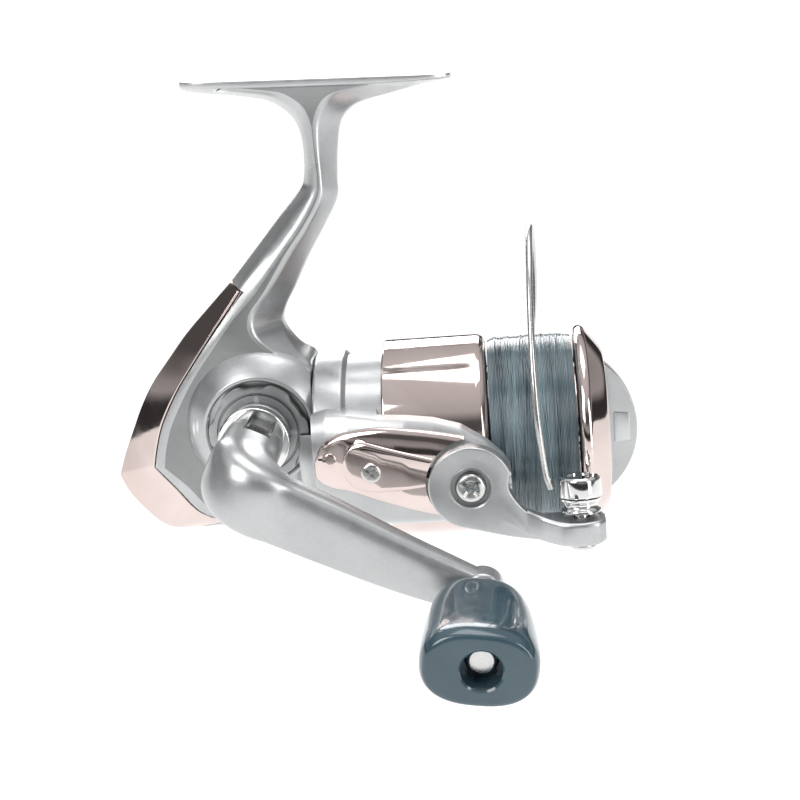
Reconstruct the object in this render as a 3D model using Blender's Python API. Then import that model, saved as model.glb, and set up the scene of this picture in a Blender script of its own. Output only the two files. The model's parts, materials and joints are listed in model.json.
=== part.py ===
"""Spinning reel with a folding crank handle, built as a bench assembly.

Everything is modelled in the shaft frame, in millimetres: X runs forward along
the main shaft, Z points to the rod, Y points away from the crank handle, and the
origin is on the main shaft under the crank axis. The empty "shaft_frame" carries
that frame into the part's own frame, whose origin is the centre of the flat seat
of the foot, with +X forward along the foot and +Z up through the rod.
"""
import math

import bmesh
import bpy
from mathutils import Matrix, Vector

MM = 0.001
GAP = 0.3                       # clearance left between neighbouring pieces
WELD = 0.002                    # edges shorter than this are closed up after a boolean

# --- driving dimensions, shaft frame, mm ---------------------------------------
SHAFT_RISE = math.radians(2.5)  # the main shaft rises forward, seen from the foot
SEAT_CENTRE = Vector((18.4, 0.0, 82.4))
FOOT_LENGTH = 58.0
FOOT_WIDTH = 13.0

SPLIT_Y = 6.2                   # plane where the far side cover lifts off
SPLIT_TOP = 26.0

CRANK_Z = 7.3                   # crank axis above the main shaft
HINGE_Y = -29.0                 # fold hinge of the handle
ARM_DROP = math.radians(27.0)   # the arm points forward and 27 degrees down
ARM_LENGTH = 54.0

SHAFT_R = 2.0
STROKE = 15.0
PINION_TEETH = 9
DRIVE_TEETH = 46
STEP_TEETH = 12                 # small gear on the drive shaft
OSC_TEETH = 28
OSC_CENTRE = Vector((-13.2, 0.0, 5.0))
OSC_PIN_R = STROKE / 2

ROTOR_REAR = 12.5
ROTOR_FRONT = 46.0
FLANGE_R = 20.8
DRUM_R = 19.8
SKIRT_REAR = 27.9
SKIRT_R = 22.5
SPOOL_STEP = 50.9               # front of the skirt, rear of the line
LIP_REAR = 70.2
ARBOR_R = 15.0
LINE_R = 21.8
BAIL_PIVOT = Vector((46.5, 0.0, -2.5))
BAIL_DISC_R = 9.0
ROLLER_TOP = Vector((69.3, -28.4, -1.9))
ROLLER_TILT = math.radians(8.0)  # the roller leans out at its lower end
ROLLER_AXIS = Vector((0.0, -math.sin(ROLLER_TILT), -math.cos(ROLLER_TILT)))
WIRE_R = 0.73
KNOB_FIN_R = 19.1
KNOB_FIN_X = 64.8

X_AXIS, Y_AXIS, Z_AXIS = Vector((1, 0, 0)), Vector((0, 1, 0)), Vector((0, 0, 1))
ARM_DIR = Vector((math.cos(ARM_DROP), 0.0, -math.sin(ARM_DROP)))
ARM_UP = Vector((math.sin(ARM_DROP), 0.0, math.cos(ARM_DROP)))
CRANK = Vector((0.0, 0.0, CRANK_Z))
KNOB_AXIS = CRANK + ARM_DIR * ARM_LENGTH

# --- materials: colour, roughness, metallic -------------------------------------
FINISHES = {
    "silver_paint": ((0.36, 0.38, 0.39), 0.32, 0.55),
    "dark_silver": ((0.20, 0.21, 0.21), 0.40, 0.50),
    "bronze_chrome": ((0.66, 0.48, 0.42), 0.10, 1.00),
    "chrome": ((0.80, 0.80, 0.80), 0.08, 1.00),
    "steel": ((0.56, 0.57, 0.58), 0.25, 1.00),
    "zinc": ((0.50, 0.51, 0.52), 0.45, 0.90),
    "brass": ((0.70, 0.50, 0.22), 0.30, 1.00),
    "knob_plastic": ((0.07, 0.12, 0.15), 0.22, 0.00),
    "nylon_line": ((0.12, 0.19, 0.22), 0.20, 0.00),
    "black_plastic": ((0.02, 0.02, 0.02), 0.45, 0.00),
    "felt": ((0.45, 0.43, 0.38), 0.90, 0.00),
}


def finish_material(name):
    """One Principled material per finish, made when first asked for."""
    material = bpy.data.materials.get(name)
    if material is None:
        colour, roughness, metallic = FINISHES[name]
        material = bpy.data.materials.new(name)
        material.use_nodes = True
        shader = material.node_tree.nodes["Principled BSDF"]
        shader.inputs["Base Color"].default_value = (*colour, 1.0)
        shader.inputs["Roughness"].default_value = roughness
        shader.inputs["Metallic"].default_value = metallic
        material.diffuse_color = (*colour, 1.0)
    return material


# --- mesh helpers ----------------------------------------------------------------
def add_piece(name, bm, finish, pivot=Vector()):
    """Turn a bmesh in shaft-frame millimetres into an object with its origin at pivot."""
    bmesh.ops.recalc_face_normals(bm, faces=bm.faces)
    bmesh.ops.translate(bm, verts=bm.verts, vec=-pivot)
    mesh = bpy.data.meshes.new(name)
    bm.to_mesh(mesh)
    bm.free()
    mesh.materials.append(finish_material(finish))
    mesh.shade_smooth()
    mesh.set_sharp_from_angle(angle=math.radians(35))
    piece = bpy.data.objects.new(name, mesh)
    bpy.context.scene.collection.objects.link(piece)
    piece.location = pivot
    return piece


def skin(rings, closed_loop=False):
    """Faces between rings of equal count; a ring of one point makes a fan."""
    bm = bmesh.new()
    layers = [[bm.verts.new(point) for point in ring] for ring in rings]
    pairs = list(zip(layers, layers[1:]))
    if closed_loop:
        pairs.append((layers[-1], layers[0]))
    for low, high in pairs:
        count = max(len(low), len(high))
        for i in range(count):
            j = (i + 1) % count
            corners = [low[i % len(low)], low[j % len(low)], high[j % len(high)], high[i % len(high)]]
            bm.faces.new(list(dict.fromkeys(corners)))
    if not closed_loop:
        for layer in (layers[0], layers[-1]):
            if len(layer) > 2:
                bm.faces.new(layer)
    return bm


def circle(centre, axis, radius, steps, phase=0.0):
    """Points of a circle about an axis; a zero radius gives the centre alone."""
    if radius < 1e-6:
        return [centre.copy()]
    side = X_AXIS if abs(axis.dot(X_AXIS)) < 0.9 else Z_AXIS
    first = (side - axis * side.dot(axis)).normalized()
    second = axis.cross(first)
    turn = 2 * math.pi / steps
    return [centre + (first * math.cos(phase + turn * i) + second * math.sin(phase + turn * i)) * radius
            for i in range(steps)]


def turned(name, profile, finish, axis=X_AXIS, centre=Vector(), steps=40, pivot=None):
    """A lathe piece: profile is a list of (distance along axis, radius)."""
    rings = [circle(centre + axis * along, axis, radius, steps) for along, radius in profile]
    solid = profile[0][1] < 1e-6 and profile[-1][1] < 1e-6
    bm = skin(rings, closed_loop=not solid)
    return add_piece(name, bm, finish, centre if pivot is None else pivot)


def prism(name, outline, finish, low, high, frame=None, pivot=Vector()):
    """Extrude an outline; frame gives its two axes, the extrusion axis and the origin."""
    first, second, along, origin = frame or (X_AXIS, Z_AXIS, Y_AXIS, Vector())
    rings = [[origin + first * a + second * b + along * level for a, b in outline] for level in (low, high)]
    return add_piece(name, skin(rings), finish, pivot)


def arc(centre, radius, start, end, count):
    """Points on an arc in an outline's plane, angles in degrees."""
    angles = [math.radians(start + (end - start) * i / (count - 1)) for i in range(count)]
    return [(centre[0] + radius * math.cos(a), centre[1] + radius * math.sin(a)) for a in angles]


def smooth_path(points, per_span):
    """Catmull-Rom curve through the points, with per_span steps between neighbours."""
    pts = [Vector(p) for p in points]
    ends = [pts[0] * 2 - pts[1]] + pts + [pts[-1] * 2 - pts[-2]]
    path = []
    for a, b, c, d in zip(ends, ends[1:], ends[2:], ends[3:]):
        for i in range(per_span):
            t = i / per_span
            path.append(0.5 * (2 * b + (c - a) * t + (2 * a - 5 * b + 4 * c - d) * t ** 2
                               + (3 * b - a - 3 * c + d) * t ** 3))
    return path + [pts[-1]]


def tube(name, path, radius, sides, finish, pivot=Vector()):
    """Round wire along a path, its section carried along without twist."""
    tangents = [(b - a).normalized() for a, b in zip(path, path[1:])]
    tangents = [tangents[0]] + [(a + b).normalized() for a, b in zip(tangents, tangents[1:])] + [tangents[-1]]
    side = tangents[0].orthogonal().normalized()
    rings = []
    for point, tangent in zip(path, tangents):
        side = (side - tangent * side.dot(tangent)).normalized()
        other = tangent.cross(side)
        turn = 2 * math.pi / sides
        rings.append([point + (side * math.cos(turn * i) + other * math.sin(turn * i)) * radius
                      for i in range(sides)])
    return add_piece(name, skin(rings), finish, pivot)


def helix(centre, axis, radius, length, turns, per_turn):
    """Centre line of a coil spring that starts at centre and runs along axis."""
    count = int(turns * per_turn)
    first = axis.orthogonal().normalized()
    second = axis.cross(first)
    points = []
    for i in range(count + 1):
        angle = 2 * math.pi * i / per_turn
        points.append(centre + axis * (length * i / count)
                      + (first * math.cos(angle) + second * math.sin(angle)) * radius)
    return points


def gear(name, teeth, root, tip, bore, low, high, finish, axis, centre):
    """Spur gear with plain tapered teeth."""
    def outline(level):
        points = []
        for i in range(teeth):
            for offset, radius in ((-0.30, root), (-0.14, tip), (0.14, tip), (0.30, root)):
                points.append(circle(centre + axis * level, axis, radius, 1,
                                     2 * math.pi * (i + offset) / teeth)[0])
        return points

    def hole(level):
        return circle(centre + axis * level, axis, bore, teeth * 4, -0.6 * math.pi / teeth)

    bm = skin([outline(low), outline(high), hole(high), hole(low)], closed_loop=True)
    return add_piece(name, bm, finish, centre)


def weld_slivers(mesh):
    """Close up the very short edges that a boolean leaves."""
    bm = bmesh.new()
    bm.from_mesh(mesh)
    bmesh.ops.remove_doubles(bm, verts=bm.verts, dist=WELD)
    bmesh.ops.dissolve_degenerate(bm, edges=bm.edges, dist=WELD)
    bm.to_mesh(mesh)
    bm.free()


def cut(piece, cutter, operation="DIFFERENCE"):
    """Apply one exact boolean and drop the cutter."""
    cutter.hide_render = True
    cutter.display_type = "WIRE"
    modifier = piece.modifiers.new(operation.lower(), "BOOLEAN")
    modifier.operation = operation
    modifier.object = cutter
    modifier.solver = "EXACT"
    bpy.context.view_layer.update()
    evaluated = piece.evaluated_get(bpy.context.evaluated_depsgraph_get())
    result = bpy.data.meshes.new_from_object(evaluated)
    weld_slivers(result)
    old = piece.data
    piece.modifiers.clear()
    name = old.name
    piece.data = result
    bpy.data.meshes.remove(old)
    result.name = name
    bpy.data.objects.remove(cutter)
    return piece


def drill(piece, centre, axis, radius, low, high, steps=16):
    """Cut a round hole along an axis."""
    profile = [(low, 0), (low, radius), (high, radius), (high, 0)]
    cutter = turned("cutter", profile, "steel", axis, centre, steps)
    return cut(piece, cutter)


def block(low, high):
    """Box cutter between two corners."""
    outline = [(low[0], low[2]), (high[0], low[2]), (high[0], high[2]), (low[0], high[2])]
    return prism("cutter", outline, "steel", low[1], high[1])


# --- frame: housing, covers, bearings --------------------------------------------
# Stations of the stem and gearbox, from the foot down. Each gives five points of the
# flank in the XZ plane (back edge, cover edge, flat from, flat to, front edge) and the
# half widths at the back edge, the cover edge, the flat and the front edge.
STATIONS = [
    ((-3.8, 80.4), (-2.0, 81.3), (-0.7, 81.8), (35.0, 80.6), (40.7, 78.9), 1.0, 5.6, 6.0, 1.0),
    ((3.8, 79.0), (6.4, 79.8), (8.9, 80.3), (25.6, 79.4), (34.2, 77.6), 1.0, 5.2, 5.9, 1.0),
    ((8.5, 77.6), (10.6, 78.4), (12.1, 79.0), (21.8, 78.2), (28.6, 76.5), 1.0, 4.8, 5.7, 1.0),
    ((12.1, 74.7), (13.8, 75.7), (15.0, 76.4), (19.6, 75.8), (25.3, 75.0), 1.0, 4.6, 5.5, 1.0),
    ((13.9, 71.2), (15.2, 71.8), (16.3, 72.2), (18.3, 72.2), (22.9, 72.0), 0.9, 4.5, 5.5, 0.9),
    ((14.3, 66.3), (15.6, 66.4), (16.6, 66.5), (18.1, 66.4), (21.7, 66.2), 0.9, 4.5, 5.6, 0.9),
    ((13.8, 60.9), (15.3, 61.1), (16.7, 61.2), (18.3, 60.7), (21.1, 60.1), 0.9, 4.8, 6.0, 0.9),
    ((12.4, 58.0), (14.4, 57.9), (16.0, 57.6), (17.8, 56.7), (20.7, 56.0), 0.9, 5.0, 6.3, 0.9),
    ((7.6, 52.8), (10.1, 52.2), (12.2, 51.6), (14.2, 50.8), (17.4, 50.2), 0.9, 5.4, 6.8, 0.9),
    ((2.5, 47.1), (5.0, 46.4), (7.2, 45.6), (9.5, 44.8), (13.3, 43.8), 1.1, 5.8, 7.2, 0.9),
    ((-4.7, 39.2), (-2.4, 38.1), (0.6, 37.2), (4.2, 37.4), (9.6, 37.0), 2.4, 7.3, 8.0, 0.9),
    ((-10.3, 33.8), (-7.2, 31.8), (-4.6, 32.0), (0.4, 32.6), (7.0, 32.6), 2.9, 7.9, 8.5, 1.2),
    ((-15.9, 28.3), (-11.2, 26.6), (-8.4, 27.6), (0.6, 27.8), (6.2, 28.6), 3.2, 8.3, 8.9, 2.0),
    ((-20.5, 22.9), (-14.9, 21.7), (-12.3, 22.8), (5.6, 23.0), (9.0, 23.3), 3.5, 8.4, 9.0, 4.0),
    ((-24.9, 17.5), (-18.2, 17.2), (-15.9, 18.0), (9.9, 18.6), (12.1, 20.0), 3.5, 8.5, 9.0, 7.0),
    ((-28.2, 12.2), (-21.2, 12.3), (-19.0, 13.0), (11.0, 13.4), (12.1, 14.0), 3.5, 8.5, 9.0, 8.6),
    ((-30.9, 6.7), (-23.4, 7.8), (-21.6, 8.2), (11.2, 7.8), (12.1, 7.8), 3.5, 8.5, 9.0, 8.6),
    ((-33.6, 0.8), (-25.0, 2.8), (-23.4, 2.9), (11.2, 2.0), (12.1, 1.8), 3.5, 8.5, 9.0, 8.6),
    ((-35.5, -4.2), (-25.9, -1.1), (-24.2, -1.2), (11.2, -3.6), (12.1, -4.0), 3.5, 8.5, 9.0, 8.6),
    ((-32.9, -9.7), (-21.5, -6.6), (-19.4, -6.0), (11.2, -8.0), (12.1, -9.0), 3.5, 8.4, 9.0, 8.6),
    ((-26.0, -17.1), (-16.8, -12.5), (-14.6, -12.0), (11.0, -12.4), (12.1, -13.8), 3.5, 8.5, 9.0, 8.4),
    ((-18.0, -18.0), (-11.0, -15.6), (-9.0, -15.0), (10.6, -15.4), (12.1, -16.4), 3.2, 7.4, 7.8, 6.8),
    ((-9.0, -18.0), (-7.4, -17.3), (-6.0, -17.0), (9.6, -17.0), (12.1, -17.6), 3.0, 5.4, 5.8, 5.0),
]
COVER_FROM, COVER_TO = 10, 21   # stations that the rear cover spans


def station_ring(station):
    """Ring of ten points around one station of the housing."""
    *points, back, edge, flat, front = station
    widths = (back, edge, flat, flat, front)
    near = [Vector((x, -w, z)) for (x, z), w in zip(points, widths)]
    far = [Vector((x, w, z)) for (x, z), w in zip(points, widths)]
    return near + far[::-1]


def cover_shell(name, finish, outside, inside, edge_gap):
    """The wrap-around rear cover, as a band between two offsets of the housing's back."""
    rings = []
    last = COVER_TO - COVER_FROM
    for index, station in enumerate(STATIONS[COVER_FROM:COVER_TO + 1]):
        (bx, bz), (ex, ez) = station[0], station[1]
        back, edge = station[5], station[6]
        inward = Vector((ex - bx, 0, ez - bz)).normalized()
        slope = Vector((ex - bx, 0, ez - bz)).length
        lean = Vector((0, edge - back, 0)).length
        normal_in = Vector((lean, slope)).normalized()
        end_slide = Vector()
        if index in (0, last):
            near = STATIONS[COVER_FROM + index]
            far = STATIONS[COVER_FROM + (1 if index == 0 else last - 1)]
            along = Vector((near[0][0] - far[0][0], 0, near[0][1] - far[0][1])).normalized()
            end_slide = along * edge_gap

        def point(t, offset, side):
            """Point at t between back edge and cover edge, moved in by offset."""
            base = Vector((bx, 0, bz)) + inward * (slope * t) + inward * (offset * normal_in[0])
            width = back + (edge - back) * t - offset * normal_in[1]
            return base + Vector((0, side * max(width, 0.4), 0)) + end_slide

        reach = 1.0 + edge_gap / slope
        outer = [point(reach, outside, -1), point(0, outside, -1),
                 point(0, outside, 1), point(reach, outside, 1)]
        inner = [point(reach, inside, 1), point(0, inside, 1),
                 point(0, inside, -1), point(reach, inside, -1)]
        rings.append(outer + inner)
    return add_piece(name, skin(rings), finish)


def foot_blank():
    """Foot plate, laid out along the seat: flat top, shallow keel underneath."""
    half = FOOT_LENGTH / 2
    broad = FOOT_WIDTH / 2
    plan = [(-half, 3.4, 1.2, 1.9), (-half + 1.2, 4.9, 1.2, 2.3), (-half + 4, 6.1, 1.3, 2.7),
            (-20.0, broad, 1.4, 3.2), (-8.0, broad, 1.6, 3.8), (8.0, broad, 1.6, 3.6),
            (20.0, 6.4, 1.4, 2.7), (half - 4, 5.9, 1.2, 1.9), (half - 1.2, 4.7, 1.1, 1.5),
            (half, 3.2, 1.0, 1.3)]
    rings = []
    for x, width, edge, keel in plan:
        section = [(-width + 0.4, 0), (width - 0.4, 0), (width, -0.4), (width, -edge), (1.2, -keel),
                   (-1.2, -keel), (-width, -edge), (-width, -0.4)]
        rings.append([seat_to_shaft(x, y, z) for y, z in section])
    return add_piece("foot_blank", skin(rings), "silver_paint")


def seat_to_shaft(x, y, z):
    """A point given from the centre of the seat, in the shaft frame."""
    turn = Matrix.Rotation(SHAFT_RISE, 3, "Y")
    return SEAT_CENTRE + turn @ Vector((x, y, z))


def gearbox_cavity():
    """Room for the gears, with a round pocket for the drive gear behind the nose."""
    levels = [(21.0, -19.0, -14.5, 8.2), (17.0, -21.6, -16.6, 10.2), (8.0, -26.4, -20.8, 10.9),
              (-1.0, -30.0, -23.2, 10.9), (-4.2, -31.2, -23.4, 10.9), (-9.0, -28.4, -18.4, 10.9),
              (-14.4, -22.0, -13.0, 10.6)]
    rings = []
    for z, back, side, front in levels:
        near = [Vector((back, -3.1, z)), Vector((side, -6.9, z)), Vector((front, -6.9, z))]
        rings.append(near + [Vector((p.x, -p.y, p.z)) for p in reversed(near)])
    cavity = add_piece("cutter", skin(rings), "steel")
    pocket = turned("pocket", [(9.5, 0), (9.5, 14.9), (12.2, 14.9), (12.2, 0)], "steel", X_AXIS)
    return cut(cavity, pocket, "UNION")


def gearbox_blank(name):
    """Outer solid of stem and gearbox, with its two bosses and the rebate for the rear cover."""
    blank = add_piece(name, skin([station_ring(s) for s in STATIONS]), "silver_paint")
    near_profile = [(8.0, 0), (8.0, 17.6), (9.6, 16.6), (11.0, 15.4), (12.6, 13.7), (13.6, 12.5), (13.6, 0)]
    near_boss = turned("near_boss", near_profile, "silver_paint", -Y_AXIS, CRANK, 40)
    cut(near_boss, block((12.1, -20, -20), (30, 0, 40)))
    far_profile = [(8.0, 0), (8.0, 11.8), (11.6, 9.8), (12.4, 9.0), (12.4, 0)]
    far_boss = turned("far_boss", far_profile, "silver_paint", Y_AXIS, CRANK, 32)
    cut(blank, near_boss, "UNION")
    cut(blank, far_boss, "UNION")
    return cut(blank, cover_shell("cutter", "steel", -3.0, 1.2 + 2 * GAP, 1.3 * GAP))


def build_frame():
    """Housing with foot, the two covers, their screws, the bearings and the rail."""
    housing = gearbox_blank("housing")
    cut(housing, foot_blank(), "UNION")
    nose_profile = [(11.0, 0), (11.0, 16.3), (13.8, 16.3), (14.2, 15.9), (14.2, 12.3), (24.3, 12.3),
                    (24.3, 0)]
    nose = turned("nose", nose_profile, "silver_paint", steps=40)
    cut(housing, nose, "UNION")
    cut(housing, gearbox_cavity())
    drill(housing, Vector(), X_AXIS, 9.8, 13.9, 30.0, 28)
    drill(housing, Vector(), X_AXIS, 4.2, 10.0, 15.0, 20)
    drill(housing, CRANK, -Y_AXIS, 11.5, 11.6, 15.0, 36)
    drill(housing, CRANK, -Y_AXIS, 8.0, 9.2, 12.0, 28)
    drill(housing, CRANK, -Y_AXIS, 4.6, 5.0, 10.0, 20)
    cut(housing, block((-40, SPLIT_Y, -30), (12.3, 20, SPLIT_TOP)))

    side_cover = gearbox_blank("side_cover")
    cut(side_cover, gearbox_cavity())
    drill(side_cover, CRANK, Y_AXIS, 6.2, 8.0, 14.0, 24)
    drill(side_cover, CRANK, Y_AXIS, 3.6, 5.0, 9.0, 20)
    cut(side_cover, block((-60, SPLIT_Y + GAP, -40), (12.25, 20, SPLIT_TOP - GAP)), "INTERSECT")

    cover_shell("rear_cover", "bronze_chrome", 0.0, 1.2, 0.0)
    for number, (x, z) in enumerate(((-8.6, 22.4), (-17.6, 2.4), (7.6, -9.6)), 1):
        drill(side_cover, Vector((x, 0, z)), Y_AXIS, 2.4, 8.0, 10.0)
        turned(f"side_cover_screw_{number}", [(8.3, 0), (8.3, 2.0), (9.2, 2.0), (9.5, 1.5), (9.5, 0)],
               "steel", Y_AXIS, Vector((x, 0, z)), 12)

    rings = [("near_bearing", "steel", -Y_AXIS, CRANK, 9.5, 12.9, 4.4, 7.7),
             ("far_bearing", "steel", Y_AXIS, CRANK, 8.3, 11.9, 3.4, 5.9),
             ("pinion_bearing", "steel", X_AXIS, Vector(), 14.2, 17.6, 3.6, 9.5),
             ("one_way_clutch", "black_plastic", X_AXIS, Vector(), 18.0, 23.8, 3.6, 9.5)]
    for name, finish, axis, centre, low, high, bore, outer in rings:
        turned(name, [(low, bore), (low, outer), (high, outer), (high, bore)], finish, axis, centre, 28)

    build_bearing_retainer()
    turned("guide_rail", [(-26.0, 0), (-26.0, 0.9), (10.4, 0.9), (10.4, 0)], "steel", X_AXIS,
           Vector((0, 0, -9.5)), 12)


def build_bearing_retainer():
    """Ring with a six-lobed edge that keeps the near bearing in its boss."""
    steps = 48

    def lobed(level):
        """Outer edge at a level along the crank axis."""
        points = []
        for i in range(steps):
            angle = 2 * math.pi * i / steps
            radius = 10.7 + 0.45 * math.tanh(3 * math.cos(6 * angle))
            points.append(CRANK + Vector((radius * math.cos(angle), -level, -radius * math.sin(angle))))
        return points

    bore = [circle(CRANK - Y_AXIS * level, Y_AXIS, 5.6, steps) for level in (14.3, 13.2)]
    ring = skin([lobed(13.2), lobed(14.3)] + bore, closed_loop=True)
    add_piece("bearing_retainer", ring, "dark_silver", CRANK)


def build_anti_reverse_lever():
    """Small thumb lever under the gearbox, turning on the shaft frame's Z."""
    pivot = Vector((1.0, 0.0, -18.3))
    outline = arc((0, 0), 3.2, 40, 320, 12) + [(5.0, -1.3), (8.6, -1.6), (9.6, -0.8), (9.6, 0.8), (8.6, 1.6),
                                              (5.0, 1.3)]
    prism("anti_reverse_lever", outline, "black_plastic", -2.0, 0.0, (X_AXIS, Y_AXIS, Z_AXIS, pivot), pivot)


# --- crank, handle and knob -------------------------------------------------------
def build_drive_gear():
    """Face gear: radial teeth on the rim that faces the pinion, then web, hub and bore."""
    steps = DRIVE_TEETH * 2
    tooth_top, tooth_foot = -4.3, -4.9
    section = [(11.7, -6.6, 0), (11.7, tooth_foot, 1), (8.4, tooth_foot, 1), (8.1, -5.3, 0), (5.3, -5.3, 0),
               (5.0, -4.3, 0), (3.3, -4.3, 0), (3.3, -6.6, 0)]
    rings = []
    for radius, level, toothed in section:
        ring = []
        for i in range(steps):
            angle = 2 * math.pi * i / steps
            height = tooth_top if toothed and i % 2 else level
            ring.append(CRANK + Vector((radius * math.cos(angle), height, radius * math.sin(angle))))
        rings.append(ring)
    add_piece("drive_gear", skin(rings, closed_loop=True), "zinc", CRANK)


def build_crank():
    """What turns with the crank: shaft, gears, collar, hub and far cap."""
    turned("drive_shaft", [(-20.0, 0), (-20.0, 4.0), (-7.3, 4.0), (-7.3, 3.0), (12.8, 3.0), (12.8, 0)],
           "steel", Y_AXIS, CRANK, 20)
    build_drive_gear()
    gear("step_gear", STEP_TEETH, 3.3, 3.9, 3.15, 4.0, 6.0, "zinc", Y_AXIS, CRANK)
    turned("handle_collar", [(14.7, 4.3), (14.7, 7.0), (15.0, 7.2), (19.7, 7.2), (20.0, 7.0), (20.0, 4.3)],
           "silver_paint", -Y_AXIS, CRANK, 32)

    hub = turned("handle_hub", [(20.3, 0), (20.3, 7.6), (20.6, 7.9), (21.3, 7.9), (21.6, 7.6), (21.6, 0)],
                 "chrome", -Y_AXIS, CRANK, 32)
    tab_outline = [(-21.2, -3.7), (HINGE_Y, -3.7)] + arc((HINGE_Y, 0), 3.7, 250, 110, 9) \
        + [(HINGE_Y, 3.7), (-21.2, 3.7)]
    tab = prism("tab", tab_outline, "chrome", -2.7, 2.7, (Y_AXIS, ARM_UP, ARM_DIR, CRANK))
    cut(hub, tab, "UNION")
    drill(hub, CRANK + Y_AXIS * HINGE_Y, ARM_DIR, 1.6, -4, 4)

    cap = turned("far_cap", [(13.1, 0), (13.1, 7.2), (13.5, 7.6), (16.6, 7.6), (17.6, 6.6), (17.6, 0)],
                 "chrome", Y_AXIS, CRANK, 32)
    cut(cap, block((-5.0, 16.6, CRANK_Z - 0.8), (5.0, 19.0, CRANK_Z + 0.8)))


def arm_section(centre, tangent, wide, thick, count=16, power=3.0):
    """Soft-cornered section of the handle arm, wide along ARM_UP."""
    normal = tangent.cross(ARM_UP).normalized()
    points = []
    for i in range(count):
        angle = 2 * math.pi * i / count
        c, s = math.cos(angle), math.sin(angle)
        points.append(centre + ARM_UP * (wide * math.copysign(abs(c) ** (2 / power), c))
                      + normal * (thick * math.copysign(abs(s) ** (2 / power), s)))
    return points


def build_handle():
    """Folding handle: forked shank, elbow, tapering arm, boss, pin and spindle."""
    fork_r, elbow_r, elbow_y = 7.0, 10.0, -38.0
    hinge = CRANK + Y_AXIS * HINGE_Y
    rings = []
    for lead in (6.7, 6.1, 5.0, 3.5, 1.6):
        rings.append(arm_section(hinge + Y_AXIS * lead, -Y_AXIS, math.sqrt(fork_r ** 2 - lead ** 2), 6.4))
    rings.append(arm_section(CRANK + Y_AXIS * -33.5, -Y_AXIS, 7.1, 6.5))
    corner = CRANK + Y_AXIS * elbow_y + ARM_DIR * elbow_r
    for step in range(7):
        blend = step / 6
        angle = math.radians(90 * blend)
        outward = -ARM_DIR * math.cos(angle) - Y_AXIS * math.sin(angle)
        tangent = -Y_AXIS * math.cos(angle) + ARM_DIR * math.sin(angle)
        bulge = math.sin(math.pi * blend)
        point = corner + outward * (elbow_r + 0.9 * bulge) - ARM_UP * (1.4 * blend)
        rings.append(arm_section(point, tangent, 7.1 + 0.6 * bulge, 6.6 - 2.4 * blend + 1.5 * bulge))
    # reach, distance out, half width, half thickness, sag below the crank axis
    taper = ((22, 48.4, 6.7, 4.0, 1.5), (36, 49.4, 5.9, 3.7, 1.5), (47, 50.0, 5.1, 3.2, 1.1),
             (52, 50.2, 4.4, 2.8, 0.6))
    for reach, out, wide, thick, sag in taper:
        centre = CRANK + ARM_DIR * reach - Y_AXIS * out - ARM_UP * sag
        rings.append(arm_section(centre, ARM_DIR, wide, thick))
    arm = add_piece("handle_arm", skin(rings), "silver_paint", hinge)
    boss = turned("boss", [(47.6, 0), (47.6, 4.0), (48.0, 4.4), (52.5, 4.4), (53.0, 3.9), (53.0, 0)],
                  "silver_paint", -Y_AXIS, KNOB_AXIS, 24)
    cut(arm, boss, "UNION")
    slot = prism("slot", [(-20, -9), (-34.0, -9), (-34.0, 9), (-20, 9)], "steel", -3.0, 3.0,
                 (Y_AXIS, ARM_UP, ARM_DIR, CRANK))
    cut(arm, slot)
    drill(arm, hinge, ARM_DIR, 1.6, -9, 9)
    turned("hinge_pin", [(-6.0, 0), (-6.0, 1.3), (6.0, 1.3), (6.0, 0)], "steel", ARM_DIR, hinge, 16)
    spindle = [(53.3, 0), (53.3, 4.0), (54.6, 4.0), (54.9, 2.8), (81.6, 2.8), (82.2, 2.2), (82.2, 0)]
    turned("knob_spindle", spindle, "steel", -Y_AXIS, KNOB_AXIS, 16, hinge)


def build_knob():
    """Paddle knob that widens to its outer end, bored for the spindle."""
    sections = [(55.4, 5.6, 4.2), (56.2, 7.0, 5.2), (58.0, 8.3, 5.8), (61.0, 9.3, 6.2), (66.0, 10.1, 6.6),
                (73.0, 10.7, 7.0), (80.0, 11.0, 7.5), (83.6, 10.9, 7.6), (85.2, 10.4, 7.2), (86.2, 9.2, 6.2)]
    lean = math.radians(8.0)        # the paddle rests turned a little on its spindle
    rings = []
    for out, half_x, half_z in sections:
        ring = []
        for i in range(24):
            angle = 2 * math.pi * i / 24
            c, s = math.cos(angle), math.sin(angle)
            across = half_x * math.copysign(abs(c) ** 0.8, c) - 0.4
            up = half_z * math.copysign(abs(s) ** 0.8, s)
            ring.append(KNOB_AXIS + Vector((across * math.cos(lean) + up * math.sin(lean), -out,
                                            up * math.cos(lean) - across * math.sin(lean))))
        rings.append(ring)
    knob = add_piece("knob", skin(rings), "knob_plastic", KNOB_AXIS - Y_AXIS * sections[0][0])
    drill(knob, KNOB_AXIS, -Y_AXIS, 3.2, 50, 90, 16)
    drill(knob, KNOB_AXIS, -Y_AXIS, 3.8, 80.5, 90, 20)


# --- rotor and bail ---------------------------------------------------------------
ARM_STATIONS = [                # x, low z, high z, inner radius, crown distance from the axis
    (12.7, -5.0, 12.0, 19.3, 22.6), (16.0, -7.4, 12.6, 19.3, 23.8), (20.5, -9.8, 12.5, 19.3, 25.0),
    (26.6, -12.3, 11.8, 19.3, 26.2), (27.0, -12.3, 11.7, 23.4, 26.3), (33.0, -12.3, 11.3, 23.4, 27.0),
    (39.0, -12.2, 10.6, 23.4, 27.3), (45.0, -11.8, 9.0, 23.4, 27.4), (50.0, -9.8, 6.0, 23.4, 27.4),
    (53.6, -7.4, 2.6, 23.4, 27.4), (55.2, -5.2, 0.2, 23.4, 27.2),
]


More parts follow.
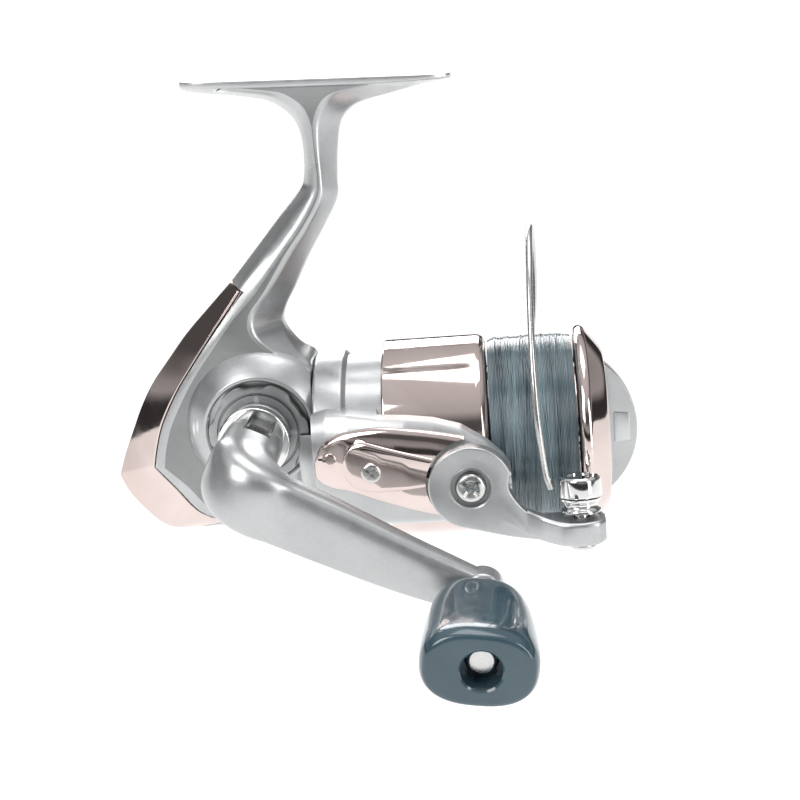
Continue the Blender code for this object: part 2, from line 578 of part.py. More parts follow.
def arm_at(x):
    """Low z, high z and crown of the rotor arm at x."""
    for a, b in zip(ARM_STATIONS, ARM_STATIONS[1:]):
        if a[0] <= x <= b[0]:
            t = (x - a[0]) / (b[0] - a[0])
            return [a[i] + (b[i] - a[i]) * t for i in (1, 2, 4)]
    return [ARM_STATIONS[-1][i] for i in (1, 2, 4)]


def arm_outer(x, z):
    """Distance of the arm's outer skin from the XZ plane."""
    low, high, crown = arm_at(x)
    middle, half = (low + high) / 2, (high - low) / 2
    across = min(abs(z - middle) / half, 1.0)
    return crown - 2.6 * across ** 2.6


def rotor_arm(name, side, finish):
    """One arm of the rotor, on the side -1 (near) or +1 (far)."""
    rings = []
    for x, low, high, inner, _ in ARM_STATIONS:
        levels = [low + (high - low) * i / 8 for i in range(9)]
        outside = [Vector((x, side * arm_outer(x, z), z)) for z in levels]
        inside = [Vector((x, side * math.sqrt(inner ** 2 - z ** 2), z)) for z in reversed(levels[::2])]
        rings.append(outside + inside)
    return add_piece(name, skin(rings), finish)


def arm_cover(name, side):
    """Teardrop trim plate that follows the arm's outer skin, hollowed for the bail disc."""
    upper = [(12.9, 2.2), (14.5, 6.0), (17.4, 8.3), (20.5, 9.4), (27.0, 10.2), (33.0, 9.8), (39.0, 9.0),
             (45.6, 7.6)]
    lower = [(12.9, -0.8), (14.5, -2.2), (17.4, -3.2), (20.5, -3.6), (27.0, -5.8), (33.0, -7.8),
             (39.0, -9.6), (45.6, -10.6)]
    rings = []
    for (x, high), (_, low) in zip(upper, lower):
        levels = [low + (high - low) * i / 6 for i in range(7)]
        outside = [Vector((x, side * (arm_outer(x, z) + GAP + 0.9), z)) for z in levels]
        inside = [Vector((x, side * (arm_outer(x, z) + GAP), z)) for z in reversed(levels)]
        rings.append(outside + inside)
    plate = add_piece(name, skin(rings), "bronze_chrome")
    return drill(plate, BAIL_PIVOT, Y_AXIS * side, BAIL_DISC_R + 0.6, 20, 40, 40)


def build_rotor():
    """Rotor with its two arms, covers, screws, pinion and nut."""
    profile = [(ROTOR_REAR, 18.2), (ROTOR_REAR, 20.3), (13.0, FLANGE_R), (18.9, FLANGE_R), (19.9, DRUM_R),
               (ROTOR_FRONT - 0.5, DRUM_R), (ROTOR_FRONT, 19.3), (ROTOR_FRONT, 18.3), (28.0, 18.3), (28.0, 6.6),
               (32.0, 6.6), (32.0, 3.6), (25.2, 3.6), (25.2, 6.6), (25.8, 18.2)]
    rotor = turned("rotor", profile, "silver_paint", steps=44)
    pocket_from, pocket_to, pocket_floor = 28.0, 39.0, 24.6
    for side in (-1, 1):
        cut(rotor, rotor_arm("arm_blank", side, "silver_paint"), "UNION")
        drill(rotor, BAIL_PIVOT, Y_AXIS * side, 2.1, 20, 40)
        near_y, far_y = sorted((side * pocket_floor, side * 30.0))
        cut(rotor, block((pocket_from, near_y, -1.0), (pocket_to, far_y, 1.4)))
        tag = "near" if side < 0 else "far"
        plate = arm_cover(f"{tag}_arm_cover", side)
        screw = Vector((25.5, 0, 1.0))
        seat = arm_outer(25.5, screw.z) + GAP + 0.9
        drill(plate, screw, Y_AXIS * side, 1.3, 20, 40, 12)
        drill(rotor, screw, Y_AXIS * side, 1.3, 20, 40, 12)
        screw_profile = [(seat - 3.2, 0), (seat - 3.2, 1.0), (seat + 0.5, 1.0), (seat + 0.5, 2.2),
                         (seat + 1.0, 2.0), (seat + 1.3, 1.2), (seat + 1.3, 0)]
        turned(f"{tag}_arm_cover_screw", screw_profile, "steel", Y_AXIS * side, screw, 12, Vector())
    spring_start = Vector((pocket_from + 0.7, -(pocket_floor + 0.9), 0.2))
    tube("bail_spring", helix(spring_start, X_AXIS, 0.5, 9.6, 9, 8), 0.15, 4, "steel")
    lever = [(28.4, -0.6), (36.5, -0.6), (38.5, 0.2), (36.5, 1.0), (28.4, 1.0)]
    prism("trip_lever", lever, "steel", pocket_floor + GAP, pocket_floor + GAP + 0.8)

    teeth = 4 * PINION_TEETH
    rings = []
    for x, tooth in ((3.8, 1), (11.4, 1), (11.4, 0), (35.6, 0)):
        ring = []
        for i in range(teeth):
            radius = (3.55 if i % 4 in (1, 2) else 3.3) if tooth else 3.2
            angle = 2 * math.pi * i / teeth
            ring.append(Vector((x, radius * math.cos(angle), radius * math.sin(angle))))
        rings.append(ring)
    for x in (35.6, 3.8):
        turns = [2 * math.pi * i / teeth for i in range(teeth)]
        rings.append([Vector((x, 2.3 * math.cos(turn), 2.3 * math.sin(turn))) for turn in turns])
    add_piece("pinion", skin(rings, closed_loop=True), "brass")
    nut = prism("rotor_nut", arc((0, 0), 6.4, 0, 300, 6), "brass", 32.3, 35.2,
                (Y_AXIS, Z_AXIS, X_AXIS, Vector()))
    drill(nut, Vector(), X_AXIS, 3.5, 30, 40, 16)


def build_bail():
    """Near and far bail arms, wire, cap and the screws at pivots and roller."""
    flat_in, flat_out = 27.7, 31.2
    tail_in = 28.9              # the tail passes over the trim plate when the bail is open
    pivot = BAIL_PIVOT
    tail = [(8.0, -2.0), (11.5, -6.0), (14.0, -7.4), (14.0, -12.4), (9.0, -11.6), (4.0, -10.4), (-1.0, -8.9)]
    disc = arc((0, 0), BAIL_DISC_R, 20, 262, 22)
    outline = [(pivot.x + a, pivot.z + b) for a, b in disc + tail[::-1]]
    near = prism("near_bail_arm", outline, "silver_paint", -flat_out, -flat_in, pivot=pivot)
    # sections of the tail that carries the roller: x, middle y, half depth, top z, bottom z
    tail_sections = [(58.0, -29.6, 1.6, -8.2, -14.1), (60.5, -29.8, 1.9, -9.4, -15.0),
                     (63.0, -29.9, 3.0, -10.1, -15.5), (65.5, -30.0, 4.2, -10.4, -15.7),
                     (69.3, -30.0, 4.7, -10.4, -15.8), (72.3, -30.0, 4.0, -10.4, -15.7),
                     (74.2, -30.0, 2.2, -10.7, -15.3)]
    rings = []
    for x, middle, half, top, bottom in tail_sections:
        height, level = (top - bottom) / 2, (top + bottom) / 2
        rings.append([Vector((x, middle + half * a, level + height * b))
                      for a, b in ((-1, -0.7), (-0.8, -1), (0.8, -1), (1, -0.7), (1, 0.7), (0.8, 1),
                                   (-0.8, 1), (-1, 0.7))])
    cut(near, add_piece("tail", skin(rings), "silver_paint"), "UNION")
    relief_in, relief_out = BAIL_DISC_R + 0.2, 17.0
    relief = [(20.0, relief_in), (20.0, relief_out), (tail_in, relief_out), (tail_in, relief_in)]
    cut(near, turned("relief", relief, "steel", -Y_AXIS, pivot, 40))
    drill(near, pivot, -Y_AXIS, 2.1, 20, 40)
    drill(near, pivot, -Y_AXIS, 4.3, 29.6, 40, 20)
    drill(near, ROLLER_TOP, ROLLER_AXIS, 1.9, 7.0, 17.0)

    boss = Vector((14.6, 10.2))
    far_outline = [(pivot.x + a, pivot.z + b) for a, b in
                   arc((0, 0), 6.6, 95, 335, 20) + arc(boss, 2.4, -60, 130, 9)]
    far = prism("far_bail_arm", far_outline, "silver_paint", 27.7, 30.3, pivot=pivot)
    drill(far, pivot, Y_AXIS, 2.1, 20, 40)

    for tag, side, face in (("near", -1, 29.9), ("far", 1, 30.6)):
        screw_profile = [(24.4, 0), (24.4, 1.8), (face, 1.8), (face, 3.4), (face + 1.3, 3.2),
                         (face + 1.9, 2.0), (face + 1.9, 0)]
        turned(f"{tag}_pivot_screw", screw_profile, "steel", Y_AXIS * side, pivot, 16)

    wire_points = [(63.3, -28.6, -4.4), (62.3, -28.6, -1.0), (61.7, -28.2, 4.0), (61.2, -27.2, 11.0),
                   (61.0, -24.6, 19.6), (61.1, -19.6, 29.0), (61.6, -11.4, 40.0), (62.2, 0.0, 46.0),
                   (62.8, 11.4, 42.0), (63.0, 20.6, 32.6), (62.6, 26.2, 22.6), (61.6, 28.6, 14.0),
                   (61.1, 29.0, 10.6)]
    tube("bail_wire", smooth_path(wire_points, 3), WIRE_R, 8, "steel", pivot)

    cap = turned("roller_cap", [(0.0, 0), (0.0, 3.9), (0.5, 4.4), (4.3, 4.6), (4.3, 0)], "chrome",
                 ROLLER_AXIS, ROLLER_TOP, 24, pivot)
    drill(cap, ROLLER_TOP, ROLLER_AXIS, 1.9, 2.3, 6.0)
    roller_screw = [(2.6, 0), (2.6, 1.5), (14.6, 1.5), (14.6, 2.9), (15.3, 2.6), (15.7, 1.8), (15.7, 0)]
    turned("roller_screw", roller_screw, "steel", ROLLER_AXIS, ROLLER_TOP, 14, pivot)
    groove = [(4.6, 1.9), (4.6, 4.3), (5.1, 4.2), (5.6, 3.5), (6.6, 3.5), (7.1, 4.2), (7.6, 4.3), (7.6, 1.9)]
    turned("line_roller", groove, "chrome", ROLLER_AXIS, ROLLER_TOP, 24)


# --- main shaft, spool and drag ----------------------------------------------------
def build_main_shaft():
    """Main shaft with its slider, the spool seat and the keyed drag washers."""
    turned("main_shaft", [(-24.0, 0), (-24.0, 1.7), (-23.7, SHAFT_R), (74.6, SHAFT_R), (75.0, 1.7), (75.0, 0)],
           "steel", steps=24)
    slider_x = OSC_CENTRE.x - OSC_PIN_R
    back, front = slider_x - 2.2, slider_x + 2.2
    slider = prism("oscillation_slider", [(back, -11.4), (front, -11.4), (front, 14.2), (back, 14.2)],
                   "zinc", -3.0, 3.0)
    slot_half = 8.8
    cut(slider, block((slider_x - 1.2, 2.4, OSC_CENTRE.z - slot_half),
                      (slider_x + 1.2, 4.0, OSC_CENTRE.z + slot_half)))
    drill(slider, Vector(), X_AXIS, SHAFT_R + GAP, -40, 0, 20)
    drill(slider, Vector((0, 0, -9.5)), X_AXIS, 0.9 + GAP, -40, 0, 12)
    turned("spool_seat", [(43.6, 2.3), (43.6, 4.4), (46.2, 4.4), (46.2, 5.8), (47.7, 5.8), (47.7, 2.3)],
           "black_plastic", steps=24)
    for number, x in ((1, 60.8), (2, 66.0)):
        turned(f"keyed_washer_{number}", [(x, 2.3), (x, 10.8), (x + 0.9, 10.8), (x + 0.9, 2.3)], "steel",
               steps=24)


def build_spool():
    """Spool with deep skirt, the wound line, the felt and eared washers and their clip."""
    skirt = [(SKIRT_REAR, 21.3), (SKIRT_REAR, 22.2), (28.3, SKIRT_R), (49.2, SKIRT_R), (50.3, 22.1),
             (50.8, 21.2)]
    lip = [(SPOOL_STEP, ARBOR_R), (LIP_REAR, ARBOR_R), (70.4, 21.9), (70.8, 22.7), (71.6, 23.0), (72.6, 22.8),
           (76.4, 18.2), (76.8, 17.2), (76.6, 16.5), (76.2, 16.2), (72.0, 16.1)]
    inside = [(72.0, 11.6), (60.5, 11.6), (60.5, 2.4), (48.0, 2.4), (48.0, 6.6), (58.4, 6.6), (58.4, 13.4),
              (49.2, 13.4), (49.2, 21.3)]
    turned("spool", skirt + lip + inside, "bronze_chrome", steps=44)
    rear, front, inner = SPOOL_STEP + GAP, LIP_REAR - GAP, ARBOR_R + GAP
    winding = [(rear, inner), (rear, LINE_R - 0.3), (51.8, LINE_R), (69.2, LINE_R), (front, LINE_R - 0.4),
               (front, inner)]
    turned("line", winding, "nylon_line", steps=44)
    for number, x in ((1, 62.0), (2, 64.7)):
        turned(f"drag_felt_{number}", [(x, 3.0), (x, 10.9), (x + 1.0, 10.9), (x + 1.0, 3.0)], "felt",
               steps=24)
    turned("eared_washer", [(63.3, 3.0), (63.3, 11.2), (64.4, 11.2), (64.4, 3.0)], "steel", steps=24)
    turned("drag_clip", [(67.2, 9.6), (67.2, 11.3), (68.0, 11.3), (68.0, 9.6)], "steel", steps=24)


def build_drag_knob():
    """Drag knob with its half-round grip fin, nut and spring."""
    profile = [(69.0, 0), (69.0, 8.6), (72.4, 8.6), (72.4, 15.2), (73.0, 15.7), (75.4, 15.6), (76.9, 14.8),
               (77.6, 12.0), (78.0, 0)]
    knob = turned("drag_knob", profile, "silver_paint", steps=40)
    reach = math.degrees(math.acos((76.6 - KNOB_FIN_X) / KNOB_FIN_R))
    fin = prism("fin", arc((KNOB_FIN_X, 0), KNOB_FIN_R, -reach, reach, 20), "silver_paint", -2.3, 2.3)
    cut(knob, fin, "UNION")
    drill(knob, Vector(), X_AXIS, 4.9, 68, 76.0, 16)
    nut = prism("drag_nut", arc((0, 0), 4.5, 0, 300, 6), "brass", 72.0, 75.0,
                (Y_AXIS, Z_AXIS, X_AXIS, Vector()))
    drill(nut, Vector(), X_AXIS, 2.3, 70, 80, 16)
    tube("drag_spring", helix(Vector((68.9, 0, 0)), X_AXIS, 3.4, 2.4, 3, 10), 0.3, 4, "steel")


def build_oscillation_gear():
    """Idler gear whose stub pin would drive the slider's slot."""
    wheel = gear("oscillation_gear", OSC_TEETH, 8.7, 9.25, 1.4, 4.3, 6.0, "zinc", Y_AXIS, OSC_CENTRE)
    pin = turned("pin", [(3.3, 0), (3.3, 1.0), (4.8, 1.0), (4.8, 0)], "zinc", Y_AXIS,
                 OSC_CENTRE - X_AXIS * OSC_PIN_R, 16)
    cut(wheel, pin, "UNION")


def place_in_part_frame():
    """Bring every piece from millimetres to metres and hang it on the shaft frame."""
    shaft_frame = bpy.data.objects.new("shaft_frame", None)
    shaft_frame.rotation_euler = (0.0, -SHAFT_RISE, 0.0)
    shaft_frame.location = Matrix.Rotation(-SHAFT_RISE, 3, "Y") @ (-SEAT_CENTRE) * MM
    for piece in list(bpy.context.scene.collection.objects):
        piece.data.transform(Matrix.Scale(MM, 4))
        piece.location = piece.location * MM
        piece.parent = shaft_frame
    bpy.context.scene.collection.objects.link(shaft_frame)


def main():
    for leftover in list(bpy.data.objects):
        bpy.data.objects.remove(leftover)
    build_frame()
    build_anti_reverse_lever()
    build_crank()
    build_handle()
    build_knob()
    build_rotor()
    build_bail()
    build_main_shaft()
    build_spool()
    build_drag_knob()
    build_oscillation_gear()
    place_in_part_frame()


main()
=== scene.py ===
"""Looks of the spinning reel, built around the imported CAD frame.

Shapes are drawn in the shaft frame in millimetres, as in the CAD: X forward along the
main shaft, Z to the rod, Y away from the crank handle. place() brings each finished
piece into the part's own frame, in metres.
"""

import json
import math
import random

import bmesh
import bpy
from mathutils import Matrix, Vector, noise


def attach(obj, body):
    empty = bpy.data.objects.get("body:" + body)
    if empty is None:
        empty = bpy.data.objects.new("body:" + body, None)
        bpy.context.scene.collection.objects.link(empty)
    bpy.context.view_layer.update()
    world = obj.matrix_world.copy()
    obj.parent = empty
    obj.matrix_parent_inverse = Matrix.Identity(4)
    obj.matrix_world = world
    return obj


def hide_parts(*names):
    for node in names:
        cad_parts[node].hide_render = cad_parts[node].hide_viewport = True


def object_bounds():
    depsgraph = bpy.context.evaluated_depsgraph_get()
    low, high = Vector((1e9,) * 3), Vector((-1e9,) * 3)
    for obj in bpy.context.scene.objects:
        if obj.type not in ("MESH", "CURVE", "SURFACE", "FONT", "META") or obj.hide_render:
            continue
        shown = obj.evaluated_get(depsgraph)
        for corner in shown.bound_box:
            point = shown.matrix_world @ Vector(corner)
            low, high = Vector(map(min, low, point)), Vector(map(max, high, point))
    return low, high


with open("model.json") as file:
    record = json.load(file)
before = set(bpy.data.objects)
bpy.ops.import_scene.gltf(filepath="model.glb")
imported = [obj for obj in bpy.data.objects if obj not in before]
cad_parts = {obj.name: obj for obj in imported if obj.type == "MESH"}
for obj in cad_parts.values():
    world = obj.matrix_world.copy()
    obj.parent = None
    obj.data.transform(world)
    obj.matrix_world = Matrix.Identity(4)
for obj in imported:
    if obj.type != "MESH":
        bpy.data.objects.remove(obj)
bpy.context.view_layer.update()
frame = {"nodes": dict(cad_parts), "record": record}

MM = 0.001
FLOOR_DROP = 0.08                # metres; the folded handle hangs well below the reel
GAP = 0.3
SHAFT_RISE = math.radians(2.5)
SEAT_CENTRE = Vector((18.4, 0.0, 82.4))
SPLIT_Y = 6.2
SPLIT_TOP = 26.0
HINGE_Y = -29.0
ARM_DROP = math.radians(27.0)
SPOOL_STEP = 50.9
LIP_REAR = 70.2
ARBOR_R = 15.0
LINE_R = 21.8
BAIL_PIVOT = Vector((46.5, 0.0, -2.5))
BAIL_DISC_R = 9.0
ROLLER_TOP = Vector((69.3, -28.4, -1.9))
ROLLER_TILT = math.radians(8.0)
ROLLER_AXIS = Vector((0.0, -math.sin(ROLLER_TILT), -math.cos(ROLLER_TILT)))
WIRE_R = 0.73
FIN_R = 19.1
FIN_X = 64.8

X_AXIS, Y_AXIS, Z_AXIS = Vector((1, 0, 0)), Vector((0, 1, 0)), Vector((0, 0, 1))
ARM_DIR = Vector((math.cos(ARM_DROP), 0.0, -math.sin(ARM_DROP)))
ARM_UP = Vector((math.sin(ARM_DROP), 0.0, math.cos(ARM_DROP)))
CRANK = Vector((0.0, 0.0, 7.3))
KNOB_AXIS = CRANK + ARM_DIR * 54.0
SHAFT_TO_PART = Matrix.Rotation(-SHAFT_RISE, 4, "Y") @ Matrix.Translation(-SEAT_CENTRE)


# --- materials -------------------------------------------------------------------
class Shader:
    """A Principled material with helpers that add procedural detail to it."""

    def __init__(self, name, metallic, **sockets):
        self.material = bpy.data.materials.new(name)
        self.material.use_nodes = True
        self.tree = self.material.node_tree
        self.bsdf = self.tree.nodes["Principled BSDF"]
        self.bsdf.inputs["Metallic"].default_value = metallic
        for socket, value in sockets.items():
            self.bsdf.inputs[socket.replace("_", " ")].default_value = value
        self.coords = self.tree.nodes.new("ShaderNodeTexCoord").outputs["Object"]

    def node(self, kind, **settings):
        made = self.tree.nodes.new(kind)
        for key, value in settings.items():
            setattr(made, key, value)
        return made

    def link(self, source, target):
        self.tree.links.new(source, target)

    def noise(self, scale, detail=3.0, stretch=(1, 1, 1), distortion=0.0):
        """Noise over object coordinates; scale is in waves per metre."""
        mapping = self.node("ShaderNodeMapping")
        mapping.inputs["Scale"].default_value = stretch
        self.link(self.coords, mapping.inputs["Vector"])
        made = self.node("ShaderNodeTexNoise")
        made.inputs["Scale"].default_value = scale
        made.inputs["Detail"].default_value = detail
        made.inputs["Distortion"].default_value = distortion
        self.link(mapping.outputs["Vector"], made.inputs["Vector"])
        return made.outputs["Fac"]

    def cells(self, scale):
        """Random value for each small cell, for metallic flakes."""
        made = self.node("ShaderNodeTexVoronoi")
        made.inputs["Scale"].default_value = scale
        self.link(self.coords, made.inputs["Vector"])
        split = self.node("ShaderNodeSeparateColor")
        self.link(made.outputs["Color"], split.inputs["Color"])
        return split.outputs["Red"]

    def ramp(self, value, low, high, start=0.3, end=0.7):
        """Colours from low to high as value goes from start to end."""
        made = self.node("ShaderNodeValToRGB")
        first, last = made.color_ramp.elements
        first.position, first.color = start, (*low, 1.0)
        last.position, last.color = end, (*high, 1.0)
        self.link(value, made.inputs["Fac"])
        return made.outputs["Color"]

    def scale(self, value, low, high, start=0.3, end=0.7):
        """Numbers from low to high as value goes from start to end."""
        made = self.node("ShaderNodeMapRange")
        for socket, number in (("From Min", start), ("From Max", end), ("To Min", low), ("To Max", high)):
            made.inputs[socket].default_value = number
        self.link(value, made.inputs["Value"])
        return made.outputs["Result"]

    def mix(self, factor, a, b, kind="MIX"):
        """Mix two colours; factor may be a number or an output."""
        made = self.node("ShaderNodeMix", data_type="RGBA", blend_type=kind)
        if isinstance(factor, float):
            made.inputs["Factor"].default_value = factor
        else:
            self.link(factor, made.inputs["Factor"])
        self.link(a, made.inputs[6])
        self.link(b, made.inputs[7])
        return made.outputs[2]

    def wear(self, colour, worn, start=0.52, end=0.60):
        """Lighten convex edges, where handling rubs the finish."""
        edge = self.node("ShaderNodeNewGeometry").outputs["Pointiness"]
        mask = self.scale(edge, 0.0, 1.0, start, end)
        flat = self.node("ShaderNodeRGB")
        flat.outputs[0].default_value = (*worn, 1.0)
        return self.mix(mask, colour, flat.outputs[0])

    def bump(self, heights, strength, distance=0.0001):
        """Add heights, each an output with a weight, as one bump."""
        total = None
        for output, weight in heights:
            part = self.node("ShaderNodeMath", operation="MULTIPLY")
            self.link(output, part.inputs[0])
            part.inputs[1].default_value = weight
            if total is None:
                total = part.outputs[0]
            else:
                both = self.node("ShaderNodeMath", operation="ADD")
                self.link(total, both.inputs[0])
                self.link(part.outputs[0], both.inputs[1])
                total = both.outputs[0]
        made = self.node("ShaderNodeBump")
        made.inputs["Strength"].default_value = strength
        made.inputs["Distance"].default_value = distance
        self.link(total, made.inputs["Height"])
        self.link(made.outputs["Normal"], self.bsdf.inputs["Normal"])

    def colour(self, output):
        self.link(output, self.bsdf.inputs["Base Color"])

    def roughness(self, output):
        self.link(output, self.bsdf.inputs["Roughness"])


def metal_paint(name, low, high, worn, metallic=0.82, rough=(0.27, 0.36)):
    """Silver lacquer over flakes, with soft clouding and brighter worn edges."""
    shader = Shader(name, metallic, Coat_Weight=0.30, Coat_Roughness=0.12)
    cloud = shader.noise(90.0, 4.0)
    flakes = shader.cells(9000.0)
    base = shader.ramp(cloud, low, high)
    spark = shader.ramp(flakes, (0.90, 0.90, 0.90), (1.0, 1.0, 1.0), 0.1, 0.9)
    shader.colour(shader.wear(shader.mix(1.0, base, spark, "MULTIPLY"), worn))
    shader.roughness(shader.scale(shader.noise(400.0, 5.0), *rough))
    shader.bump([(flakes, 0.5), (shader.noise(1500.0, 2.0), 1.0)], 0.035)
    return shader.material


def plated(name, low, high, rough=(0.05, 0.11), anisotropic=0.0):
    """Mirror plating with a faint change of tint and finger smears in its gloss."""
    shader = Shader(name, 1.0, Anisotropic=anisotropic)
    shader.colour(shader.ramp(shader.noise(45.0, 3.0, distortion=0.6), low, high))
    smear = shader.noise(160.0, 6.0, (1, 0.35, 1), 1.2)
    shader.roughness(shader.scale(smear, *rough, 0.35, 0.75))
    shader.bump([(shader.noise(220.0, 2.0), 1.0)], 0.02)
    return shader.material


def machined(name, low, high, rough, grain=(1, 1, 14), bump=0.06):
    """Turned or drawn metal with fine lines along one direction."""
    shader = Shader(name, 1.0, Anisotropic=0.35)
    lines = shader.noise(900.0, 4.0, grain)
    shader.colour(shader.ramp(lines, low, high))
    shader.roughness(shader.scale(lines, *rough))
    shader.bump([(lines, 1.0)], bump)
    return shader.material


def moulded(name, low, high, rough, coat=0.0, grain=700.0, bump=0.05, specular=0.5):
    """Moulded plastic: slight clouding, a fine skin texture, optional gloss."""
    shader = Shader(name, 0.0, Coat_Weight=coat, Coat_Roughness=0.05, Specular_IOR_Level=specular)
    shader.colour(shader.ramp(shader.noise(120.0, 4.0), low, high))
    shader.roughness(shader.scale(shader.noise(500.0, 5.0), *rough))
    shader.bump([(shader.noise(grain, 3.0), 1.0), (shader.noise(2600.0, 2.0), 0.25)], bump)
    return shader.material


def line_material():
    """Blue-grey monofilament: translucent gloss, with painted highlight and shade streaks that change from turn
    to turn.
    """
    shader = Shader("nylon_line", 0.0, Coat_Weight=0.6, Coat_Roughness=0.06, IOR=1.53,
                    Specular_IOR_Level=0.7)
    # Light and dark bands along the shaft: painted highlight and shade streaks on the winding.
    painted_light_bands = shader.noise(420.0, 5.0, (1, 0.06, 0.06))
    clouds = shader.noise(70.0, 3.0)
    tint = shader.ramp(painted_light_bands, (0.022, 0.045, 0.058), (0.17, 0.24, 0.27), 0.34, 0.66)
    pale = shader.ramp(clouds, (0.75, 0.80, 0.80), (1.0, 1.0, 1.0))
    shader.colour(shader.mix(1.0, tint, pale, "MULTIPLY"))
    shader.roughness(shader.scale(clouds, 0.12, 0.26))
    return shader.material


def felt_material():
    shader = Shader("felt", 0.0, Sheen_Weight=0.6, Sheen_Roughness=0.5)
    fibres = shader.noise(2500.0, 6.0, distortion=2.0)
    shader.colour(shader.ramp(fibres, (0.34, 0.31, 0.26), (0.58, 0.55, 0.48)))
    shader.roughness(shader.scale(fibres, 0.85, 1.0))
    shader.bump([(fibres, 1.0)], 0.4)
    return shader.material


SILVER = metal_paint("silver_paint", (0.47, 0.48, 0.485), (0.55, 0.56, 0.565), (0.80, 0.81, 0.81))
# A darker copy of the silver paint for the flat flanks of the stem and gearbox: painted shade.
SHADED_FLANK = metal_paint("silver_flank_painted_shade", (0.245, 0.255, 0.255), (0.30, 0.31, 0.31), (0.50, 0.51, 0.51))
DARK_SILVER = metal_paint("dark_silver", (0.20, 0.21, 0.215), (0.27, 0.28, 0.285), (0.55, 0.56, 0.56))
BRONZE = plated("bronze_chrome", (0.64, 0.535, 0.505), (0.76, 0.655, 0.625))
CHROME = plated("chrome", (0.72, 0.72, 0.72), (0.84, 0.84, 0.83), (0.06, 0.14))
STEEL = machined("steel", (0.52, 0.52, 0.51), (0.72, 0.72, 0.71), (0.16, 0.30))
ZINC = machined("zinc", (0.42, 0.43, 0.44), (0.58, 0.58, 0.58), (0.38, 0.55), (1, 1, 1), 0.15)
BRASS = machined("brass", (0.60, 0.42, 0.16), (0.80, 0.60, 0.28), (0.20, 0.34))
KNOB_PLASTIC = moulded("knob_plastic", (0.030, 0.062, 0.082), (0.044, 0.084, 0.106), (0.10, 0.22), 0.6,
                       420.0, 0.06)
BLACK = moulded("black_plastic", (0.012, 0.012, 0.013), (0.028, 0.028, 0.030), (0.38, 0.55))
NYLON = line_material()
FELT = felt_material()
BY_SLOT = {"silver_paint": SILVER, "dark_silver": DARK_SILVER, "bronze_chrome": BRONZE, "chrome": CHROME,
           "steel": STEEL, "zinc": ZINC, "brass": BRASS, "knob_plastic": KNOB_PLASTIC, "nylon_line": NYLON,
           "black_plastic": BLACK, "felt": FELT}


# --- mesh helpers ------------------------------------------------------------------
def vec(*numbers):
    return Vector(numbers)


def fillet(points, radius, steps=3, closed=False):
    """Round each corner of a polyline with a short quadratic curve."""
    out, count = [], len(points)
    for i, point in enumerate(points):
        corner = Vector(point)
        if not closed and i in (0, count - 1):
            out.append(corner)
            continue
        before, after = Vector(points[i - 1]) - corner, Vector(points[(i + 1) % count]) - corner
        start = corner + before.normalized() * min(radius, before.length * 0.45)
        end = corner + after.normalized() * min(radius, after.length * 0.45)
        for k in range(steps + 1):
            t = k / steps
            out.append(start * (1 - t) ** 2 + corner * (2 * t * (1 - t)) + end * t ** 2)
    return out


def spline(points, per_span):
    """Catmull-Rom curve through points of any dimension."""
    pts = [Vector(p) for p in points]
    ends = [pts[0] * 2 - pts[1]] + pts + [pts[-1] * 2 - pts[-2]]
    path = []
    for a, b, c, d in zip(ends, ends[1:], ends[2:], ends[3:]):
        for i in range(per_span):
            t = i / per_span
            path.append(0.5 * (2 * b + (c - a) * t + (2 * a - 5 * b + 4 * c - d) * t ** 2
                               + (3 * b - a - 3 * c + d) * t ** 3))
    return path + [pts[-1]]


def along(stations, x):
    """Row of a table of stations at x, between its two neighbours, without the x."""
    for a, b in zip(stations, stations[1:]):
        if x <= b[0]:
            t = max(0.0, (x - a[0]) / (b[0] - a[0]))
            return [p + (q - p) * t for p, q in zip(a[1:], b[1:])]
    return list(stations[-1][1:])


def circle(centre, axis, radius, steps, phase=0.0):
    if radius < 1e-6:
        return [centre.copy()]
    side = X_AXIS if abs(axis.dot(X_AXIS)) < 0.9 else Z_AXIS
    first = (side - axis * side.dot(axis)).normalized()
    second = axis.cross(first)
    turns = [phase + 2 * math.pi * i / steps for i in range(steps)]
    return [centre + (first * math.cos(a) + second * math.sin(a)) * radius for a in turns]


def skin(rings, closed_loop=False, mark=None):
    """Faces between rings of equal count; mark(layer, side) gives a face's material."""
    bm = bmesh.new()
    layers = [[bm.verts.new(point) for point in ring] for ring in rings]
    pairs = list(zip(layers, layers[1:]))
    if closed_loop:
        pairs.append((layers[-1], layers[0]))
    for layer, (low, high) in enumerate(pairs):
        count = max(len(low), len(high))
        for i in range(count):
            j = (i + 1) % count
            corners = (low[i % len(low)], low[j % len(low)], high[j % len(high)], high[i % len(high)])
            face = bm.faces.new(list(dict.fromkeys(corners)))
            if mark:
                face.material_index = mark(layer, i)
    if not closed_loop:
        for ring in (layers[0], layers[-1]):
            if len(ring) > 2:
                bm.faces.new(ring)
    return bm


def piece(name, bm, *materials):
    """A mesh object in shaft-frame millimetres."""
    bmesh.ops.recalc_face_normals(bm, faces=bm.faces)
    mesh = bpy.data.meshes.new(name)
    bm.to_mesh(mesh)
    bm.free()
    for material in materials:
        mesh.materials.append(material)
    made = bpy.data.objects.new(name, mesh)
    bpy.context.scene.collection.objects.link(made)
    return made


def lathe(name, profile, material, axis=X_AXIS, centre=Vector(), steps=96, round_by=0.0):
    """Turned piece: profile lists (distance along axis, radius), corners rounded by round_by."""
    solid = profile[0][1] < 1e-6 and profile[-1][1] < 1e-6
    if round_by:
        profile = fillet(profile, round_by, 3, closed=not solid)
    rings = [circle(centre + axis * p[0], axis, p[1], steps) for p in profile]
    return piece(name, skin(rings, not solid), material)


def prism(name, outline, low, high, material, frame_axes=None):
    first, second, third, origin = frame_axes or (X_AXIS, Z_AXIS, Y_AXIS, Vector())
    rings = [[origin + first * p[0] + second * p[1] + third * level for p in outline]
             for level in (low, high)]
    return piece(name, skin(rings), material)


